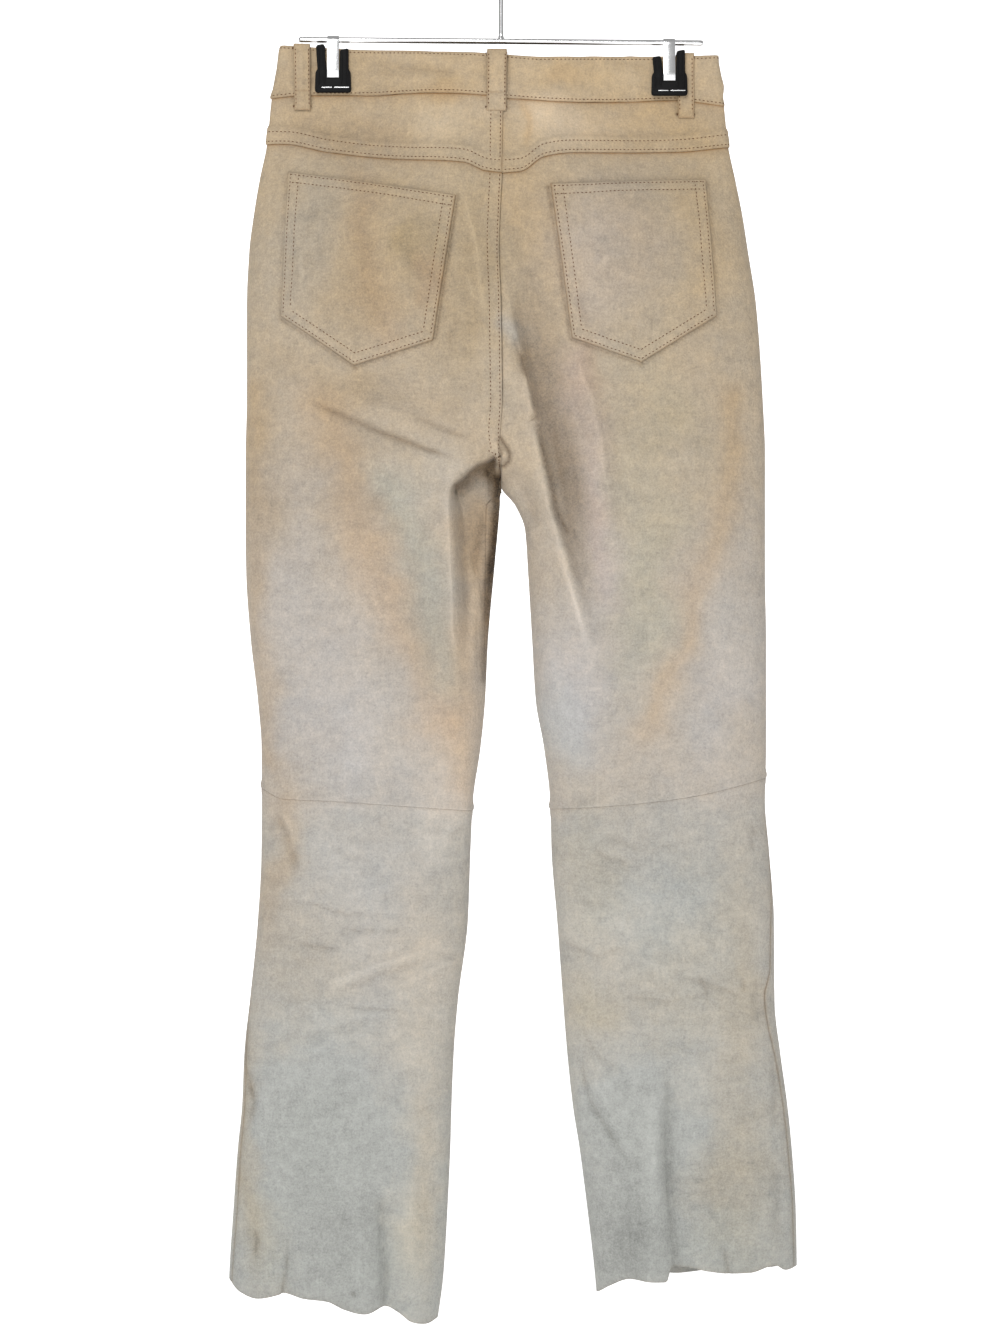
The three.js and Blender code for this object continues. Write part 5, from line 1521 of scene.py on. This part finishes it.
def makeJaw(clip, face):
    # a plate with two arms and a slot, with its ribs, its lip, and two bright steel strips above the lip
    # as painted highlights
    half, tall, thick = clipLook["wide"] / 2, clipLook["tall"], clipLook["thick"]
    inner = clipLook["armGap"] / 2
    outer = inner + clipLook["armWide"]
    low, high = -clip["plate"] - tall / 2, -clip["plate"] + tall / 2
    leftTop, rightTop = clip["armOuter"], clip["armInner"]
    if clip["x"] > 0:
        leftTop, rightTop = rightTop, leftTop
    out, lifted = (-1, clip["backLift"]) if face == "back" else (1, 0)
    near = out * (sizes["pinched"] + clipLook["gap"]) - lifted
    name = f"{clip['node']}_{face}"

    def onFace(reach):
        # depth counts outwards from "reach" off the jaw's inner face
        return lambda p: np.stack([p[:, 0] + clip["x"], near + out * (reach + p[:, 2]), p[:, 1]], -1)

    def block(left, right, foot, top, radius):
        return rounded([(left, foot), (right, foot), (right, top), (left, top)], radius)

    ring = [(-half, low), (half, low), (half - 0.6, high - 1), (outer, high + 0.6), (outer, -rightTop - 0.5),
            (inner, -rightTop - 1.6), (inner - 0.2, high), (-inner + 0.4, high),
            (-inner - 1.7, -leftTop - 0.2), (-outer - 1.4, -leftTop - 1.4), (-outer, high + 0.6),
            (-half + 0.6, high - 1)]
    corners = [3, 3, 2.2, 1, 1.6, 2.4, 0.8, 0.8, 2.0, 2.2, 1, 2.2]
    slot = block(-5.2, 5.2, high - 5.1, high - 6.6, 0.5)[::-1]
    jaw = outlineSolid(name + "_jawShell", [rounded(ring, corners), slot], thick, 0.45,
                       onFace(thick / 2), "plastic")
    attach(jaw, "clip_plastic", name + "_jaw")
    footOuter, footInner = (low + above for above in clipLook["ribFoot"])
    ribs = [(-outer + 1.1, footOuter, -leftTop - 3), (-inner - 1.4, footInner, -leftTop - 2.4),
            (inner + 1.4, footInner, -rightTop - 3), (outer - 1.1, footOuter, -rightTop - 2)]
    details = [outlineSolid("rib", [block(middle - 0.7, middle + 0.7, foot, top, 0.5)], 1.2, 0.3,
                            onFace(thick + clipLook["ribTall"] - 0.6), "plastic")
               for middle, foot, top in ribs]
    lip = rounded([(-half + 1.2, low + 0.5), (half - 1.2, low + 0.5),
                   (half - 1.6, low + 3.7), (-half + 1.6, low + 3.7)], 1)
    details.append(outlineSolid("lip", [lip], 1.6, 0.4, onFace(thick + clipLook["lipTall"] - 0.8), "plastic"))
    joined(details, name + "_ribs", "clip_plastic")
    # painted highlight: two bright steel strips laid on the jaw's face just above the lip
    highlightStrips = [outlineSolid("highlightStrip", [block(start, end, low + 3.9, low + 4.7, 0.3)], 0.6, 0.15,
                           onFace(thick + 0.1), "steel")
              for start, end in ((-half + 5.9, -0.9), (0.9, half - 1.9))]
    joined(highlightStrips, name + "_highlightStrips", "hanger_steel")


def makeSpring(clip):
    # a strip bent over the bar, with a leg down the outside of each jaw
    bend = clipLook["springBend"]
    bendDrop = clip["bar"] - hanger["barRadius"] - clipLook["gap"] + bend
    front = sizes["pinched"] + 2 * clipLook["gap"] + clipLook["thick"]
    back = front + clip["backLift"]
    tip = clip["plate"] + clipLook["springTip"]
    kneeDrop = clip["plate"] - clipLook["tall"] / 2 - 1
    halfway = mix(tip, kneeDrop, 0.5)
    path = np.array([(-back, tip), (-back, halfway), (-back, kneeDrop)]
                    + [(bend * math.cos(angle), bendDrop - bend * math.sin(angle))
                       for angle in np.linspace(math.pi, 0, 21)]
                    + [(front, kneeDrop), (front, halfway), (front, tip)])
    way = np.gradient(path, axis=0)
    way /= np.linalg.norm(way, axis=1, keepdims=True)
    shell = path + clipLook["springThick"] * np.stack([way[:, 1], -way[:, 0]], 1)
    ring = [(a, -b) for a, b in np.concatenate([path, shell[::-1]])]
    spring = outlineSolid(f"{clip['node']}_springShell", [ring], clipLook["springWide"], 0.12,
                          lambda p: np.stack([clip["x"] + p[:, 2], p[:, 0], p[:, 1]], -1), "steel")
    attach(spring, "hanger_steel", f"{clip['node']}_spring")


print("clips")
for clip in clips:
    for face in ("back", "front"):
        makeJaw(clip, face)
    makeSpring(clip)

print("hanger")
slope = (clips[1]["bar"] - clips[0]["bar"]) / (clips[1]["x"] - clips[0]["x"])
barDrop = clips[0]["bar"] - slope * clips[0]["x"]
# the bar's round ends, as places and how much thinner it is there
end, full = hanger["barHalf"], hanger["barRadius"]
ends = [(end, 1.3), (end - 0.6, 0.4), (end - 2, 0)]
bar = [(x, 0, -(barDrop + slope * x), full - thinner) for x, thinner in
       [(-place, less) for place, less in ends] + [(-end / 2, 0), (0, 0), (end / 2, 0)] + ends[::-1]]
bend, radius = hanger["bend"], hanger["wireRadius"]
centre = radius - bend
turns = np.radians(np.linspace(195, -42, 13))
stem = [(bend * math.cos(angle), 0, centre + bend * math.sin(angle), radius) for angle in turns]
stem.insert(0, (stem[0][0] + 0.15, 0, stem[0][2] - 1.2, 0.9))
foot = centre - bend
stem += [(4.5, 0, foot - 3, radius), (0.4, 0, foot - 14, radius), (0, 0, foot - 30, radius),
         (0, 0, -barDrop + 5, radius), (0, 0, -barDrop + 1.6, radius + 1.0)]
frameWire = wire("hanger_frameShell", [bar, stem], "steel")
attach(frameWire, "hanger_steel", "hanger_frame")

studio = {
    "floorDrop": 1300,
    "wall": 7000,
    "bend": 900,
    "glow": 0.78,          # the sweep's own light, which keeps it evenly pale
    "distance": 3200,
    "middle": (-0.85, 627.3),
    "tall": 1129.65,       # millimetres of the middle plane seen from top to bottom
    "world": 0.38,
    "lamps": [("key", (-650, -2700, 1400), 1300, 51), ("front", (0, -5200, -500), 3200, 31)],
}


def makeStudio():
    start = newMaterial("sweep")
    mottle = start.noise(3, 2, 0.5)
    surface(start, {"Base Color": (mottle + 0.5).blend((0.93, 0.93, 0.93, 1), (0.95, 0.95, 0.95, 1))},
            {"Roughness": 0.95, "Emission Color": (1, 1, 1, 1), "Emission Strength": studio["glow"],
             "Specular IOR Level": 0.1})
    low, wall, bend = -studio["floorDrop"], studio["wall"], studio["bend"]
    curve = [(wall - bend + bend * math.sin(a), low + bend - bend * math.cos(a))
             for a in np.linspace(0, math.pi / 2, 13)]
    line = [(-7000, low), (-1500, low), *curve, (wall, 1800), (wall, 3600)]
    vertices = [(x, y, z) for y, z in line for x in (-8000, 8000)]
    faces = [(2 * k, 2 * k + 1, 2 * k + 3, 2 * k + 2) for k in range(len(line) - 1)]
    sweep = makeObject("sweep", vertices, faces, materials["sweep"])

    world = bpy.data.worlds.new("studio")
    world.use_nodes = True
    background = world.node_tree.nodes["Background"]
    background.inputs["Color"].default_value = (1.0, 0.995, 0.985, 1)
    background.inputs["Strength"].default_value = studio["world"]
    bpy.context.scene.world = world
    bpy.context.scene.view_settings.view_transform = "Standard"

    for name, place, size, power in studio["lamps"]:
        light = bpy.data.lights.new(name, "AREA")
        light.size, light.energy = size * mm, power
        lamp = bpy.data.objects.new(name, light)
        lamp.location = [part * mm for part in place]
        toMiddle = np.array([0, 0, -640]) - np.array(place)
        lamp.rotation_euler = (math.pi / 2 + math.atan2(toMiddle[2], np.hypot(toMiddle[0], toMiddle[1])), 0,
                               -math.atan2(toMiddle[0], toMiddle[1]))
        bpy.context.scene.collection.objects.link(lamp)

    camera = bpy.data.cameras.new("camera")
    camera.sensor_width = 36
    camera.lens = 36 * studio["distance"] / studio["tall"]
    camera.clip_end = 100
    view = bpy.data.objects.new("camera", camera)
    view.location = (studio["middle"][0] * mm, -studio["distance"] * mm, -studio["middle"][1] * mm)
    view.rotation_euler = (math.pi / 2, 0, 0)
    bpy.context.scene.collection.objects.link(view)
    bpy.context.scene.camera = view


makeStudio()
